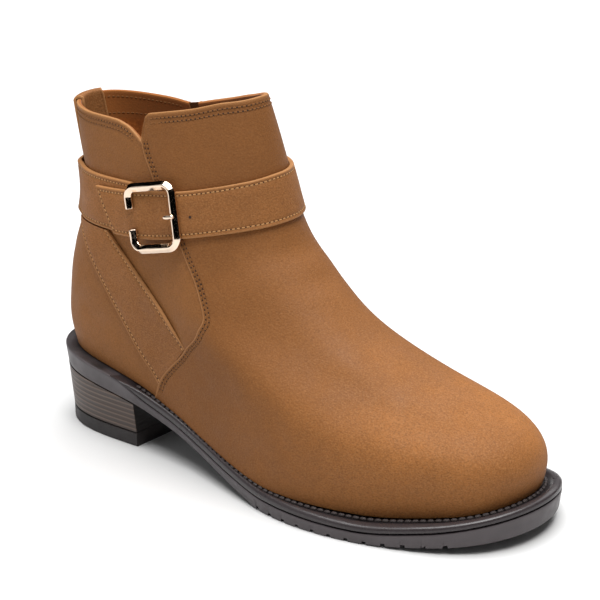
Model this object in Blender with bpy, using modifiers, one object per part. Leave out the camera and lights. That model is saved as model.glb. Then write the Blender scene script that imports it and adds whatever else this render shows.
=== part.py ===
"""Right ankle boot on a low stacked block heel.

The upper is one hollow leather wall over a last-shaped surface. It is closed by a
zip on its inner side, and an ankle strap with a buckle and a slanting strap on each
side lie on it. Lengths are millimetres: x runs from the back of the sole to the toe,
y towards the inner side of the foot, and z up from the floor. Meshes are in metres.
"""

import math
from collections import namedtuple

import bmesh
import bpy
import numpy as np
from mathutils import Matrix

MM = 0.001
GAP = 0.3
SMOOTH_ANGLE = math.radians(38.0)

# Sections of the last, from the feather line up to the collar. Each is a ring that
# slopes from back to front, with half widths at four places and a round at each end.
LastRing = namedtuple("LastRing", "back_x back_z front_x front_z heel_end heel waist ball toe toe_end")
LAST = (
    LastRing(6.0, 38.0, 245.0, 19.0, 24.0, 25.5, 28.5, 42.0, 30.5, 40.0),
    LastRing(3.0, 50.0, 251.5, 30.0, 24.0, 27.0, 29.5, 43.0, 35.0, 38.0),
    LastRing(3.5, 62.0, 243.5, 42.0, 24.0, 27.0, 30.0, 41.5, 33.0, 33.0),
    LastRing(5.0, 73.0, 215.0, 54.0, 24.0, 26.5, 30.0, 37.5, 25.0, 28.0),
    LastRing(7.5, 84.0, 176.0, 68.0, 23.0, 25.0, 29.8, 34.0, 23.0, 25.0),
    LastRing(12.2, 96.0, 151.5, 85.0, 21.0, 23.5, 29.3, 32.0, 22.5, 23.0),
    LastRing(16.0, 110.0, 131.0, 107.0, 19.0, 21.5, 28.5, 30.0, 22.0, 21.0),
    LastRing(13.5, 127.0, 121.5, 136.0, 17.0, 19.0, 26.5, 27.5, 19.5, 18.0),
    LastRing(7.5, 153.0, 112.0, 168.0, 12.5, 15.0, 21.5, 22.0, 15.0, 13.5),
)
# Angles round a ring, from the back over the outer side to the toe, of its half widths.
WIDTH_ANGLES = np.radians((0.0, 40.0, 75.0, 105.0, 140.0, 180.0))

# Bend of the foot's centre line, which fades out of the shaft.
Bend = namedtuple("Bend", "x y")
CENTRE_LINE = (
    Bend(0.0, 0.0),
    Bend(40.0, 0.0),
    Bend(100.0, -4.0),
    Bend(160.0, -2.0),
    Bend(210.0, 3.0),
    Bend(258.0, 5.0),
)
SHAFT_STRAIGHTENS_AT = 0.7
SHAFT_STRAIGHTENS_BY = 0.8
FEATHER_FADES_AT = 0.62
FEATHER_GAP = 0.8

# Outlines of the sole seen from above.
Outline = namedtuple("Outline", "back_x front_x heel_end heel waist ball toe toe_end")
SOLE_TOP = Outline(0.0, 258.0, 27.0, 30.5, 31.0, 48.0, 41.0, 46.5)
SOLE_BOTTOM = Outline(2.0, 254.5, 26.5, 29.0, 29.0, 47.5, 40.5, 45.5)
HEEL_BOTTOM = Outline(5.0, 254.5, 25.5, 27.6, 27.8, 46.0, 39.5, 44.5)

# Height of the sole along the foot: heel seat, arch, flat tread and toe spring.
SoleSection = namedtuple("SoleSection", "x top bottom")
SOLE = (
    SoleSection(0.0, 37.6, 28.4),
    SoleSection(30.0, 35.2, 26.0),
    SoleSection(58.0, 30.9, 21.9),
    SoleSection(82.0, 24.8, 15.8),
    SoleSection(105.0, 18.2, 9.4),
    SoleSection(130.0, 12.5, 3.4),
    SoleSection(152.0, 9.3, 0.0),
    SoleSection(196.0, 8.2, 0.0),
    SoleSection(228.0, 12.0, 2.2),
    SoleSection(258.0, 18.4, 8.0),
)
SOLE_EDGE = 0.7
OUTSOLE_STATIONS = 41
STATION_CLEAR = 0.012
WELT_START_X = 47.0
WELT_THICKNESS = 3.4
WELT_LIP = 4.0
WELT_EDGE = 0.8
WELT_STATIONS = 73
TREAD_FIRST_X = 147.0
TREAD_PITCH = 8.0
TREAD_COUNT = 12
TREAD_WIDTH = 1.6
TREAD_DEPTH = 1.1
TREAD_SLOPE = 0.15
INSOLE_THICKNESS = 3.0
INSOLE_CLEAR = 0.8
INSOLE_STATIONS = 37

HEEL_BREAST_X = 60.0
LIFT_THICKNESS = 6.5
LIFT_EDGE = 0.6
HEEL_STATIONS = 15

# The upper's wall and what is cut in it. Places on a side are given by x and height.
WALL = 2.0
VAMP_STEP = 0.8
SEAM_STEP_WIDTH = 0.5
COLUMNS_BACK_TO_SEAM = 13
COLUMNS_SEAM_TO_ZIP = 31
COLUMNS_ZIP_TO_BACK = 12
SEAM_CROWDING = 1.4
FRONT_CROWDING = 1.15
UPPER_ROWS = 23
COLLAR_GUESS = 0.95
COLLAR_PASSES = 4
SidePoint = namedtuple("SidePoint", "x z")
VAMP_SEAM = (
    SidePoint(73.0, 28.0),
    SidePoint(79.0, 39.5),
    SidePoint(96.5, 57.5),
    SidePoint(106.5, 68.5),
    SidePoint(109.0, 76.0),
    SidePoint(106.0, 82.5),
    SidePoint(100.5, 92.0),
    SidePoint(95.0, 100.0),
    SidePoint(75.0, 130.5),
    SidePoint(70.0, 134.0),
    SidePoint(67.5, 144.0),
    SidePoint(66.0, 155.0),
)
ZIP_LINE = (
    SidePoint(80.0, 32.0),
    SidePoint(76.0, 41.0),
    SidePoint(71.0, 58.0),
    SidePoint(67.0, 80.0),
    SidePoint(61.0, 115.0),
    SidePoint(57.0, 135.0),
    SidePoint(54.0, 152.0),
)
ZIP_END_Z = 37.0
ZIP_SLIT = 5.6
# Collar height by angle, in three runs: outer quarter, front panel, inner quarter.
CollarPoint = namedtuple("CollarPoint", "degrees z")
COLLAR_OUTER = (
    CollarPoint(0.0, 150.5),
    CollarPoint(45.0, 149.8),
    CollarPoint(76.0, 150.8),
    CollarPoint(84.0, 149.6),
    CollarPoint(90.0, 146.6),
    CollarPoint(94.0, 143.5),
)
COLLAR_FRONT = (
    CollarPoint(94.0, 145.5),
    CollarPoint(96.0, 151.5),
    CollarPoint(98.5, 156.0),
    CollarPoint(105.0, 157.6),
    CollarPoint(124.0, 161.0),
    CollarPoint(150.0, 165.0),
    CollarPoint(180.0, 166.0),
    CollarPoint(207.0, 164.5),
    CollarPoint(233.0, 160.0),
    CollarPoint(256.0, 154.5),
    CollarPoint(275.0, 150.0),
)
COLLAR_INNER = (
    CollarPoint(280.0, 149.0),
    CollarPoint(295.0, 150.5),
    CollarPoint(325.0, 151.4),
    CollarPoint(360.0, 150.5),
)

# Straps. Their edges are heights by angle round the ankle.
STRAP_THICKNESS = 2.0
STRAP_CHAMFER = 0.5
STRAP_RISE_START = 100.0
STRAP_RISE_END = 88.0
BandEdge = namedtuple("BandEdge", "degrees low high")
REAR_BAND = (
    BandEdge(-82.0, 108.0, 130.0),
    BandEdge(-45.0, 104.5, 127.0),
    BandEdge(0.0, 102.0, 125.0),
    BandEdge(45.0, 101.5, 124.5),
    BandEdge(86.0, 102.5, 124.5),
)
FRONT_BAND = (
    BandEdge(57.0, 101.0, 120.5),
    BandEdge(75.0, 102.0, 121.8),
    BandEdge(95.0, 104.0, 124.3),
    BandEdge(113.0, 107.3, 126.6),
    BandEdge(134.0, 110.6, 130.0),
    BandEdge(153.0, 112.4, 132.4),
    BandEdge(180.0, 113.6, 134.2),
    BandEdge(220.0, 113.2, 133.4),
    BandEdge(278.0, 112.0, 132.0),
)
FREE_END_SLANT = 7.0
BAND_STEP = 6.0
BAND_ROWS = 5
REAR_BAND_END = 85.0

SLANT_THICKNESS = 1.5
SLANT_TUCK = 0.45
SlantSection = namedtuple("SlantSection", "high_x high_z low_x low_z")
SLANT_OUTER = (
    SlantSection(47.5, 101.0, 23.0, 100.6),
    SlantSection(59.5, 91.0, 34.5, 86.5),
    SlantSection(71.5, 81.5, 46.5, 72.0),
    SlantSection(84.5, 70.5, 59.5, 56.0),
    SlantSection(95.0, 58.0, 72.5, 39.5),
)
SLANT_INNER = (
    SlantSection(34.0, 103.0, 19.5, 101.2),
    SlantSection(43.5, 100.5, 31.0, 91.5),
    SlantSection(52.5, 98.0, 44.5, 80.5),
    SlantSection(60.3, 95.0, 64.6, 70.0),
)
SLANT_STATIONS = 16
SLANT_GAP = 0.45
TUCK_START = 0.85

STAY_THICKNESS = 1.2
STAY_HALF_WIDTH = 9.0
STAY_BOTTOM_Z = 41.0
STAY_TURN_HEIGHT = 1.4
STAY_INSIDE_Z = 136.0
STAY_ROWS = 16
STAY_ACROSS = 6
STAY_FLAT_ANGLE = 21.0
STAY_RISE_ANGLE = 34.0
STAY_CROWN = 0.8
STAY_INSIDE_ROWS = 4
STAY_PROBE = 0.01

# Buckle on the outer side, drawn flat and laid on the strap.
BUCKLE_CENTRE = SidePoint(80.0, 114.0)
BUCKLE_TILT = math.radians(13.0)
BUCKLE_LENGTH = 27.5
BUCKLE_HEIGHT = 31.0
BUCKLE_BAR = 4.2
BUCKLE_CORNER = 4.2
BUCKLE_RIM = 0.9
BUCKLE_RIDGE = 2.6
BUCKLE_FLAT = 0.5
BUCKLE_OPENING = 9.0
BUCKLE_STEP = 2.4
CORNER_STEPS = 5
PRONG_RADIUS = 1.0
PRONG_CLEAR = 0.35
# The prong's middle line: places along the strap from the front bar, heights over the strap.
ProngPoint = namedtuple("ProngPoint", "along height")
PRONG_CREST = BUCKLE_RIDGE + PRONG_CLEAR + PRONG_RADIUS
PRONG = (
    ProngPoint(-5.0, PRONG_RADIUS),
    ProngPoint(-3.5, 2.2),
    ProngPoint(-2.0, PRONG_CREST),
    ProngPoint(0.0, PRONG_CREST + 0.2),
    ProngPoint(2.1, PRONG_CREST - 0.2),
)

# Zip chain, slider and pull.
CHAIN_DEPTH = 1.5
CHAIN_PROUD = 0.2
CHAIN_CLEAR = 0.45
CHAIN_END_CLEAR = 1.5
CHAIN_TOP_CLEAR = 1.0
CHAIN_STATIONS = 18
SLIDER_Z = 142.0
SLIDER_WIDTH = 8.0
SLIDER_LENGTH = 11.0
SLIDER_THICKNESS = 1.6
SLIDER_CLEAR = 0.4
SLIDER_BEVEL = 0.5
SLIDER_PROBE = 4.0
ARCH_WIDTH = 2.2
ARCH_LENGTH = 10.0
ARCH_BAR = 1.0
ARCH_POST = 1.2
ARCH_ROOT = 0.4
PIVOT_ROOM = 1.35
PIVOT_DOWN = 2.4
PULL_THICKNESS = 1.6
PULL_BAR = 1.5
PULL_WINDOW_WIDTH = 3.4
PULL_WINDOW_LENGTH = 4.6
PULL_HEAD_WIDTH = 6.0
PULL_WIDTH = 9.5
PULL_LENGTH = 34.0
PULL_SHOULDER = 15.0

Finish = namedtuple("Finish", "colour roughness metallic")
TAN_LEATHER = Finish((0.43, 0.20, 0.075), 0.62, 0.0)
BROWN_LEATHER = Finish((0.30, 0.14, 0.06), 0.65, 0.0)
LINING_LEATHER = Finish((0.36, 0.17, 0.07), 0.8, 0.0)
DARK_RUBBER = Finish((0.045, 0.034, 0.036), 0.5, 0.0)
HEEL_BOARD = Finish((0.12, 0.085, 0.07), 0.6, 0.0)
PALE_GOLD = Finish((0.86, 0.68, 0.56), 0.16, 1.0)
BROWN_ZIP = Finish((0.10, 0.05, 0.025), 0.5, 0.3)
TAN_LACQUER = Finish((0.42, 0.20, 0.08), 0.35, 0.1)


def spline(knots, values, at):
    """Natural cubic spline through the knots; values may have several columns."""
    knots = np.asarray(knots, float)
    values = np.asarray(values, float)
    step = np.diff(knots)
    count = len(knots)
    matrix = np.eye(count)
    right = np.zeros(values.shape)
    for i in range(1, count - 1):
        matrix[i, i - 1:i + 2] = step[i - 1], 2.0 * (step[i - 1] + step[i]), step[i]
        rise = (values[i + 1] - values[i]) / step[i] - (values[i] - values[i - 1]) / step[i - 1]
        right[i] = 6.0 * rise
    bend = np.linalg.solve(matrix, right)
    at = np.asarray(at, float)
    i = np.clip(np.searchsorted(knots, at) - 1, 0, count - 2)
    shape = at.shape + (1,) * (values.ndim - 1)
    width = step[i].reshape(shape)
    left = ((knots[i + 1] - at) / step[i]).reshape(shape)
    rest = 1.0 - left
    curve = (left ** 3 - left) * bend[i] + (rest ** 3 - rest) * bend[i + 1]
    return left * values[i] + rest * values[i + 1] + curve * width ** 2 / 6.0


def monotone(knots, values, at):
    """Smooth curve through the knots that never overshoots, so a flat run stays flat."""
    knots = np.asarray(knots, float)
    values = np.asarray(values, float)
    step = np.diff(knots)
    slope = np.diff(values) / step
    tangent = np.zeros(len(knots))
    same = slope[:-1] * slope[1:] > 0.0
    tangent[1:-1][same] = 2.0 * (slope[:-1] * slope[1:])[same] / (slope[:-1] + slope[1:])[same]
    tangent[0], tangent[-1] = slope[0], slope[-1]
    at = np.clip(np.asarray(at, float), knots[0], knots[-1])
    i = np.clip(np.searchsorted(knots, at) - 1, 0, len(step) - 1)
    t = (at - knots[i]) / step[i]
    ease = t * t * (3.0 - 2.0 * t)
    start = t * (1.0 - t) ** 2 * step[i] * tangent[i]
    end = t * t * (t - 1.0) * step[i] * tangent[i + 1]
    return values[i] * (1.0 - ease) + values[i + 1] * ease + start + end


def column(rows, name):
    """One named column of a table."""
    return [getattr(row, name) for row in rows]


def width_weights(angle):
    """Share of each half width at an angle, the same on both sides of the foot."""
    mirrored = list(-WIDTH_ANGLES[2:0:-1]) + list(WIDTH_ANGLES) + list(2 * math.pi - WIDTH_ANGLES[-2:-4:-1])
    owner = [2, 1, 0, 1, 2, 3, 4, 5, 4, 3]
    folded = np.where(angle > math.pi, 2 * math.pi - angle, angle)
    unit = np.array([[1.0 if at == j else 0.0 for j in range(len(WIDTH_ANGLES))] for at in owner])
    return spline(mirrored, unit, folded)


def half_width(ends, widths, length, angle):
    """Distance from the centre line of an outline with round ends and four half widths."""
    across = np.sin(WIDTH_ANGLES[1:-1])
    reach = [np.sqrt(ends[0] * length / 2.0)]
    reach += [width / share for width, share in zip(widths, across)]
    reach.append(np.sqrt(ends[1] * length / 2.0))
    return np.sin(angle) * (width_weights(angle) * np.stack(reach, -1)).sum(-1)


def centre_line(x):
    """Sideways bend of the foot at x."""
    return spline(column(CENTRE_LINE, "x"), column(CENTRE_LINE, "y"), np.clip(x, 0.0, SOLE_TOP.front_x))


def sole_top(x):
    """Height of the sole's upper face."""
    return monotone(column(SOLE, "x"), column(SOLE, "top"), x)


def sole_bottom(x):
    """Height of the sole's lower face."""
    return monotone(column(SOLE, "x"), column(SOLE, "bottom"), x)


def outline_at(outline, angle):
    """Plan position on an outline of the sole."""
    angle = np.asarray(angle, float)
    length = outline.front_x - outline.back_x
    x = outline.back_x + length * (1.0 - np.cos(angle)) / 2.0
    widths = (outline.heel, outline.waist, outline.ball, outline.toe)
    side = half_width((outline.heel_end, outline.toe_end), widths, length, angle)
    return x, centre_line(x) - side


def angle_at(outline, x):
    """Angle on the outer side of an outline at x."""
    return math.acos(1.0 - 2.0 * (x - outline.back_x) / (outline.front_x - outline.back_x))


def last_row(level):
    """The last's section at a level between the feather line (0) and the collar (1)."""
    return spline(np.linspace(0.0, 1.0, len(LAST)), LAST, level)


def last_point(angle, level):
    """Point of the upper's outer face."""
    angle, level = np.broadcast_arrays(np.asarray(angle, float) % (2 * math.pi), np.asarray(level, float))
    row = LastRing(*np.moveaxis(last_row(level), -1, 0))
    share = (1.0 - np.cos(angle)) / 2.0
    length = row.front_x - row.back_x
    x = row.back_x + length * share
    ends = (row.heel_end, row.toe_end)
    side = half_width(ends, (row.heel, row.waist, row.ball, row.toe), length, angle)
    keep = 1.0 - SHAFT_STRAIGHTENS_BY * np.clip(level / SHAFT_STRAIGHTENS_AT, 0.0, 1.0)
    fade = np.clip(1.0 - level / FEATHER_FADES_AT, 0.0, 1.0) ** 2
    feather = LAST[0].back_z + (LAST[0].front_z - LAST[0].back_z) * share
    z = row.back_z + (row.front_z - row.back_z) * share + fade * (sole_top(x) + FEATHER_GAP - feather)
    return np.stack([x, centre_line(x) * keep - side, z], -1)


def last_normal(angle, level):
    """Direction out of the upper's face."""
    turn, lift = 1e-3, 1e-3
    level = np.clip(level, lift, 1.0 - lift)
    along = last_point(angle + turn, level) - last_point(angle - turn, level)
    up = last_point(angle, level + lift) - last_point(angle, level - lift)
    normal = np.cross(along, up)
    return normal / np.linalg.norm(normal, axis=-1, keepdims=True)


def bisect(test, shape):
    """Level at which a rising quantity changes sign, for many points at once."""
    low = np.zeros(shape)
    high = np.ones(shape)
    for _ in range(40):
        middle = (low + high) / 2.0
        above = test(middle) > 0.0
        high = np.where(above, middle, high)
        low = np.where(above, low, middle)
    return (low + high) / 2.0


def level_at(angle, z):
    """Level of the upper at a height."""
    angle, z = np.broadcast_arrays(np.asarray(angle, float), np.asarray(z, float))
    return bisect(lambda level: last_point(angle, level)[..., 2] - z, angle.shape)


def side_place(x, z, inner):
    """Angle and level of the point with this x and height on the outer or inner side."""
    x, z = np.broadcast_arrays(np.asarray(x, float), np.asarray(z, float))

    def angle_for(level):
        row = last_row(level)
        share = np.clip((x - row[..., 0]) / (row[..., 2] - row[..., 0]), 0.0, 1.0)
        angle = np.arccos(1.0 - 2.0 * share)
        return 2 * math.pi - angle if inner else angle

    level = bisect(lambda middle: last_point(angle_for(middle), middle)[..., 2] - z, x.shape)
    return angle_for(level), level


def lifted(angle, level, height):
    """Point at a height above the upper's outer face."""
    return last_point(angle, level) + last_normal(angle, level) * np.asarray(height)[..., None]


def line_angle(points, inner, level):
    """Angle of a line drawn on one side, at a level."""
    angle, at = side_place(column(points, "x"), column(points, "z"), inner)
    return monotone(at, angle, level)


def stretch(angle, level):
    """Length of the upper's face per radian round the ring."""
    turn = 1e-3
    ahead = last_point(angle + turn, level) - last_point(angle - turn, level)
    return np.linalg.norm(ahead, axis=-1) / (2.0 * turn)


def ease(value, start, end):
    """Smooth step from 0 at start to 1 at end."""
    t = np.clip((np.asarray(value, float) - start) / (end - start), 0.0, 1.0)
    return t * t * (3.0 - 2.0 * t)


def shrink(outline, by):
    """The outline drawn in by a distance all round."""
    return Outline(outline.back_x + by, outline.front_x - by, outline.heel_end - by, outline.heel - by,
                   outline.waist - by, outline.ball - by, outline.toe - by, outline.toe_end - by)


def finish_material(name, finish):
    """Plain material of a sub-part."""
    made = bpy.data.materials.new(name)
    made.use_nodes = True
    made.diffuse_color = (*finish.colour, 1.0)
    shader = made.node_tree.nodes["Principled BSDF"]
    shader.inputs["Base Color"].default_value = (*finish.colour, 1.0)
    shader.inputs["Roughness"].default_value = finish.roughness
    shader.inputs["Metallic"].default_value = finish.metallic
    return made


def place_part(name, data, finish):
    """Put a mesh or curve in the boot's collection under its root."""
    data.materials.append(finish_material(name, finish))
    part = bpy.data.objects.new(name, data)
    PARTS.objects.link(part)
    part.parent = ROOT
    return part


def shaded(mesh):
    """Smooth shading with crisp edges kept."""
    mesh.shade_smooth()
    mesh.set_sharp_from_angle(angle=SMOOTH_ANGLE)
    return mesh


def mesh_from(name, points, faces):
    """Mesh from points in millimetres, with doubles joined and faces turned out."""
    shape = bmesh.new()
    corners = [shape.verts.new(point) for point in np.asarray(points).reshape(-1, 3) * MM]
    for face in faces:
        shape.faces.new([corners[i] for i in dict.fromkeys(face)])
    bmesh.ops.remove_doubles(shape, verts=shape.verts, dist=1e-7)
    bmesh.ops.dissolve_degenerate(shape, edges=shape.edges, dist=1e-7)
    bmesh.ops.recalc_face_normals(shape, faces=shape.faces)
    mesh = bpy.data.meshes.new(name)
    shape.to_mesh(mesh)
    shape.free()
    return shaded(mesh)


def loft_mesh(name, sections):
    """Solid through successive sections, each an outgoing edge and the same edge back."""
    sections = np.asarray(sections)
    count, size = sections.shape[:2]
    faces = []
    for i in range(count - 1):
        for j in range(size):
            k = (j + 1) % size
            faces.append((i * size + j, i * size + k, (i + 1) * size + k, (i + 1) * size + j))
    for start in (0, (count - 1) * size):
        for j in range(size // 2 - 1):
            faces.append((start + j, start + j + 1, start + size - 2 - j, start + size - 1 - j))
    return mesh_from(name, sections, faces)


def loft(name, sections, finish):
    """Sub-part lofted through sections."""
    return place_part(name, loft_mesh(name, sections), finish)


def stack(name, loops, finish):
    """Solid from level outlines; each starts at the back and its two sides face each other."""
    loops = np.asarray(loops)
    count, size = loops.shape[:2]
    faces = []
    for i in range(count - 1):
        for j in range(size):
            k = (j + 1) % size
            faces.append((i * size + j, i * size + k, (i + 1) * size + k, (i + 1) * size + j))
    for start in (0, (count - 1) * size):
        for j in range(size // 2):
            around = (j, j + 1, size - 1 - j, (size - j) % size)
            faces.append([start + corner for corner in around])
    return place_part(name, mesh_from(name, loops, faces), finish)


def both_sides(angles):
    """Angles of the outer side followed by those of the inner side, back to the start."""
    inner = [2 * math.pi - angle for angle in reversed(angles) if 0.0 < angle < math.pi - 1e-9]
    return np.array(list(angles) + inner)


def level_loop(outline, angles, height):
    """Closed loop of an outline at heights worked out from its x."""
    x, y = outline_at(outline, angles)
    return np.stack([x, y, height(x)], -1)


def tread_stations():
    """Places along the sole where the tread changes, with the depth cut there."""
    stations = []
    for i in range(TREAD_COUNT):
        middle = TREAD_FIRST_X + i * TREAD_PITCH
        for side in (-1.0, 1.0):
            stations.append((middle + side * TREAD_WIDTH / 2.0, TREAD_DEPTH))
            stations.append((middle + side * (TREAD_WIDTH / 2.0 + TREAD_SLOPE), 0.0))
    return sorted(stations)


def make_outsole():
    """Outsole with its heel seat, the rebate for the welt and cross grooves in the tread."""
    step = [angle_at(SOLE_TOP, WELT_START_X + side * TREAD_SLOPE) for side in (-1.0, 1.0)]
    treads = [(angle_at(SOLE_BOTTOM, x), depth) for x, depth in tread_stations()]
    fixed = step + [angle for angle, _ in treads]
    plain = [a for a in np.linspace(0.0, math.pi, OUTSOLE_STATIONS)
             if min(abs(a - b) for b in fixed) > STATION_CLEAR]
    angles = sorted(plain + fixed)
    cut = {round(angle, 6): depth for angle, depth in treads}
    around = both_sides(angles)
    depth = np.array([cut.get(round(min(a, 2 * math.pi - a), 6), 0.0) for a in around])
    folded = np.minimum(around, 2 * math.pi - around)
    rebate = np.where(folded > sum(step) / 2.0, WELT_THICKNESS, 0.0)
    loops = [
        level_loop(shrink(SOLE_BOTTOM, SOLE_EDGE), around, lambda x: sole_bottom(x) + depth),
        level_loop(SOLE_BOTTOM, around, lambda x: sole_bottom(x) + depth + SOLE_EDGE),
        level_loop(SOLE_TOP, around, lambda x: sole_top(x) - rebate - SOLE_EDGE),
        level_loop(shrink(SOLE_TOP, SOLE_EDGE), around, lambda x: sole_top(x) - rebate),
    ]
    return stack("outsole", loops, DARK_RUBBER)


def inner_feather(angles, by):
    """Plan position inside the upper's lower edge, by a distance in from its outer face."""
    edge = last_point(angles, 0.0)
    away = last_normal(angles, 0.0) * np.array([1.0, 1.0, 0.0])
    return edge - by * away / np.linalg.norm(away, axis=-1, keepdims=True)


def make_welt():
    """Welt strip from the heel breast round the toe, with its lip under the upper."""
    start = angle_at(SOLE_TOP, WELT_START_X + TREAD_SLOPE + GAP)
    angles = np.linspace(start, 2 * math.pi - start, WELT_STATIONS)
    low = WELT_THICKNESS - GAP
    edge = WELT_EDGE
    lip = inner_feather(angles, WALL + WELT_LIP)
    lip_low = lip.copy()
    lip[:, 2] = sole_top(lip[:, 0])
    lip_low[:, 2] = lip[:, 2] - low
    sections = np.stack([
        lip_low,
        level_loop(shrink(SOLE_TOP, edge), angles, lambda x: sole_top(x) - low),
        level_loop(SOLE_TOP, angles, lambda x: sole_top(x) - low + edge),
        level_loop(SOLE_TOP, angles, lambda x: sole_top(x) - edge),
        level_loop(shrink(SOLE_TOP, edge), angles, sole_top),
        lip,
    ], axis=1)
    return loft("welt", sections, DARK_RUBBER)


def make_insole():
    """Insole board inside the upper's lower edge."""
    around = both_sides(list(np.linspace(0.0, math.pi, INSOLE_STATIONS)))
    board = inner_feather(around, WALL + INSOLE_CLEAR)
    low = board.copy()
    low[:, 2] = sole_top(board[:, 0]) + GAP
    high = low + np.array([0.0, 0.0, INSOLE_THICKNESS])
    return stack("insole", [low, high], LINING_LEATHER)


def make_heel():
    """Stacked block under the heel seat and the lift below it, both cut flat at the breast."""

    def heel_loop(outline, height):
        around = np.linspace(0.0, angle_at(outline, HEEL_BREAST_X), HEEL_STATIONS)
        return level_loop(outline, np.concatenate([around, 2 * math.pi - around[:0:-1]]), height)

    def flat(z):
        return lambda x: np.full_like(x, z)

    stack("heel_stack", [
        heel_loop(HEEL_BOTTOM, flat(LIFT_THICKNESS + GAP)),
        heel_loop(SOLE_BOTTOM, lambda x: sole_bottom(x) - GAP),
    ], HEEL_BOARD)
    stack("heel_top_piece", [
        heel_loop(shrink(HEEL_BOTTOM, LIFT_EDGE), flat(0.0)),
        heel_loop(HEEL_BOTTOM, flat(LIFT_EDGE)),
        heel_loop(HEEL_BOTTOM, flat(LIFT_THICKNESS)),
    ], DARK_RUBBER)


def collar_height(run, angle):
    """Height of the collar's edge in one of its runs."""
    return monotone(column(run, "degrees"), column(run, "z"), np.degrees(angle))


def upper_columns(level):
    """Angles of the upper's columns at a level each: outer quarter, front panel, inner quarter."""
    runs = np.cumsum((COLUMNS_BACK_TO_SEAM, COLUMNS_SEAM_TO_ZIP))
    outer, front, inner = np.split(level, runs, axis=1)
    seam = line_angle(VAMP_SEAM, False, outer)
    crowd_seam = 1.0 - (1.0 - np.linspace(0.0, 1.0, COLUMNS_BACK_TO_SEAM)) ** SEAM_CROWDING
    over = line_angle(VAMP_SEAM, False, front)
    over = over + SEAM_STEP_WIDTH / stretch(over, front)
    slit = line_angle(ZIP_LINE, True, front)
    slit = slit - ZIP_SLIT / 2.0 / stretch(slit, front)
    crowd_front = np.linspace(0.0, 1.0, COLUMNS_SEAM_TO_ZIP) ** FRONT_CROWDING
    rear = line_angle(ZIP_LINE, True, inner)
    rear = rear + ZIP_SLIT / 2.0 / stretch(rear, inner)
    share = np.arange(COLUMNS_ZIP_TO_BACK) / COLUMNS_ZIP_TO_BACK
    return np.concatenate([
        seam * crowd_seam,
        over + (slit - over) * crowd_front,
        rear + (2 * math.pi - rear) * share,
    ], axis=1)


def collar_levels(angle):
    """Level of the collar's edge for the upper's columns."""
    runs = np.cumsum((COLUMNS_BACK_TO_SEAM, COLUMNS_SEAM_TO_ZIP))
    tables = (COLLAR_OUTER, COLLAR_FRONT, COLLAR_INNER)
    heights = [collar_height(table, part) for table, part in zip(tables, np.split(angle, runs))]
    return level_at(angle, np.concatenate(heights))


def make_upper():
    """Hollow upper: its inner face thickened outwards, more where the vamp laps the quarter."""
    columns = COLUMNS_BACK_TO_SEAM + COLUMNS_SEAM_TO_ZIP + COLUMNS_ZIP_TO_BACK
    slit_column = COLUMNS_BACK_TO_SEAM + COLUMNS_SEAM_TO_ZIP - 1
    rows = np.linspace(0.0, 1.0, UPPER_ROWS)
    slit_row = 0
    top = np.full(columns, COLLAR_GUESS)
    for _ in range(COLLAR_PASSES):
        level = rows[:, None] * top
        angle = upper_columns(level)
        top = collar_levels(angle[-1])
        zip_end = zip_place(ZIP_END_Z)[1] / top[slit_column]
        slit_row = int(np.argmin(abs(rows - zip_end)))
        rows[slit_row] = zip_end
    level = rows[:, None] * top
    angle = upper_columns(level)
    inside = lifted(angle, level, np.full(angle.shape, -WALL))
    faces = []
    for i in range(UPPER_ROWS - 1):
        for j in range(columns):
            k = (j + 1) % columns
            if j != slit_column or i < slit_row:
                low, high = i * columns, (i + 1) * columns
                faces.append((low + j, low + k, high + k, high + j))
    upper = place_part("upper", mesh_from("upper", inside, faces), TAN_LEATHER)
    front = range(COLUMNS_BACK_TO_SEAM, slit_column + 1)
    vamp = upper.vertex_groups.new(name="vamp")
    vamp.add([i * columns + j for i in range(UPPER_ROWS) for j in front], 1.0, "REPLACE")
    wall = upper.modifiers.new("wall", "SOLIDIFY")
    wall.thickness = (WALL + VAMP_STEP) * MM
    wall.offset = 1.0
    wall.vertex_group = vamp.name
    wall.thickness_vertex_group = WALL / (WALL + VAMP_STEP)


def make_band(name, table, angles, height, slant):
    """Strap round the ankle that follows the upper at a height, with its ends cut across."""
    degrees = column(table, "degrees")
    share = np.linspace(0.0, 1.0, BAND_ROWS)
    sections = []
    for angle in angles:
        at = np.radians(angle + slant(angle) * (1.0 - 2.0 * share))
        low = monotone(degrees, column(table, "low"), np.degrees(at))
        high = monotone(degrees, column(table, "high"), np.degrees(at))
        inset = STRAP_CHAMFER * (1.0 - 2.0 * share)
        base = height(np.degrees(at))
        back = lifted(at, level_at(at, low + (high - low) * share), base)
        face = lifted(at, level_at(at, low + (high - low) * share + inset), base + STRAP_THICKNESS)
        sections.append(np.concatenate([back, face[::-1]]))
    return loft(name, sections, BROWN_LEATHER)


def front_band_height(degrees):
    """Height under the front strap: on the vamp, then up over the end of the rear strap."""
    raised = ease(degrees, STRAP_RISE_START, STRAP_RISE_END)
    return VAMP_STEP + GAP + raised * (STRAP_THICKNESS + GAP - VAMP_STEP)


def rear_band_height(degrees):
    """Height under the rear strap, which passes over the back stay."""
    over_stay = 1.0 - ease(abs(degrees), STAY_FLAT_ANGLE, STAY_RISE_ANGLE)
    return GAP + over_stay * (STAY_THICKNESS + GAP)


def zip_place(z):
    """Angle and level on the zip's middle line at a height."""
    angle = side_place(ZIP_LINE[-1].x, ZIP_LINE[-1].z, True)[0]
    for _ in range(6):
        level = level_at(angle, z)
        angle = line_angle(ZIP_LINE, True, level)
    return angle, level


def zip_edge(z, side):
    """Angle in degrees just clear of the zip's slit at a height, on its front or rear side."""
    angle, level = zip_place(z)
    clear = (ZIP_SLIT / 2.0 + STRAP_CHAMFER + GAP) / stretch(angle, level)
    return float(np.degrees(angle + side * clear))


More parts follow.
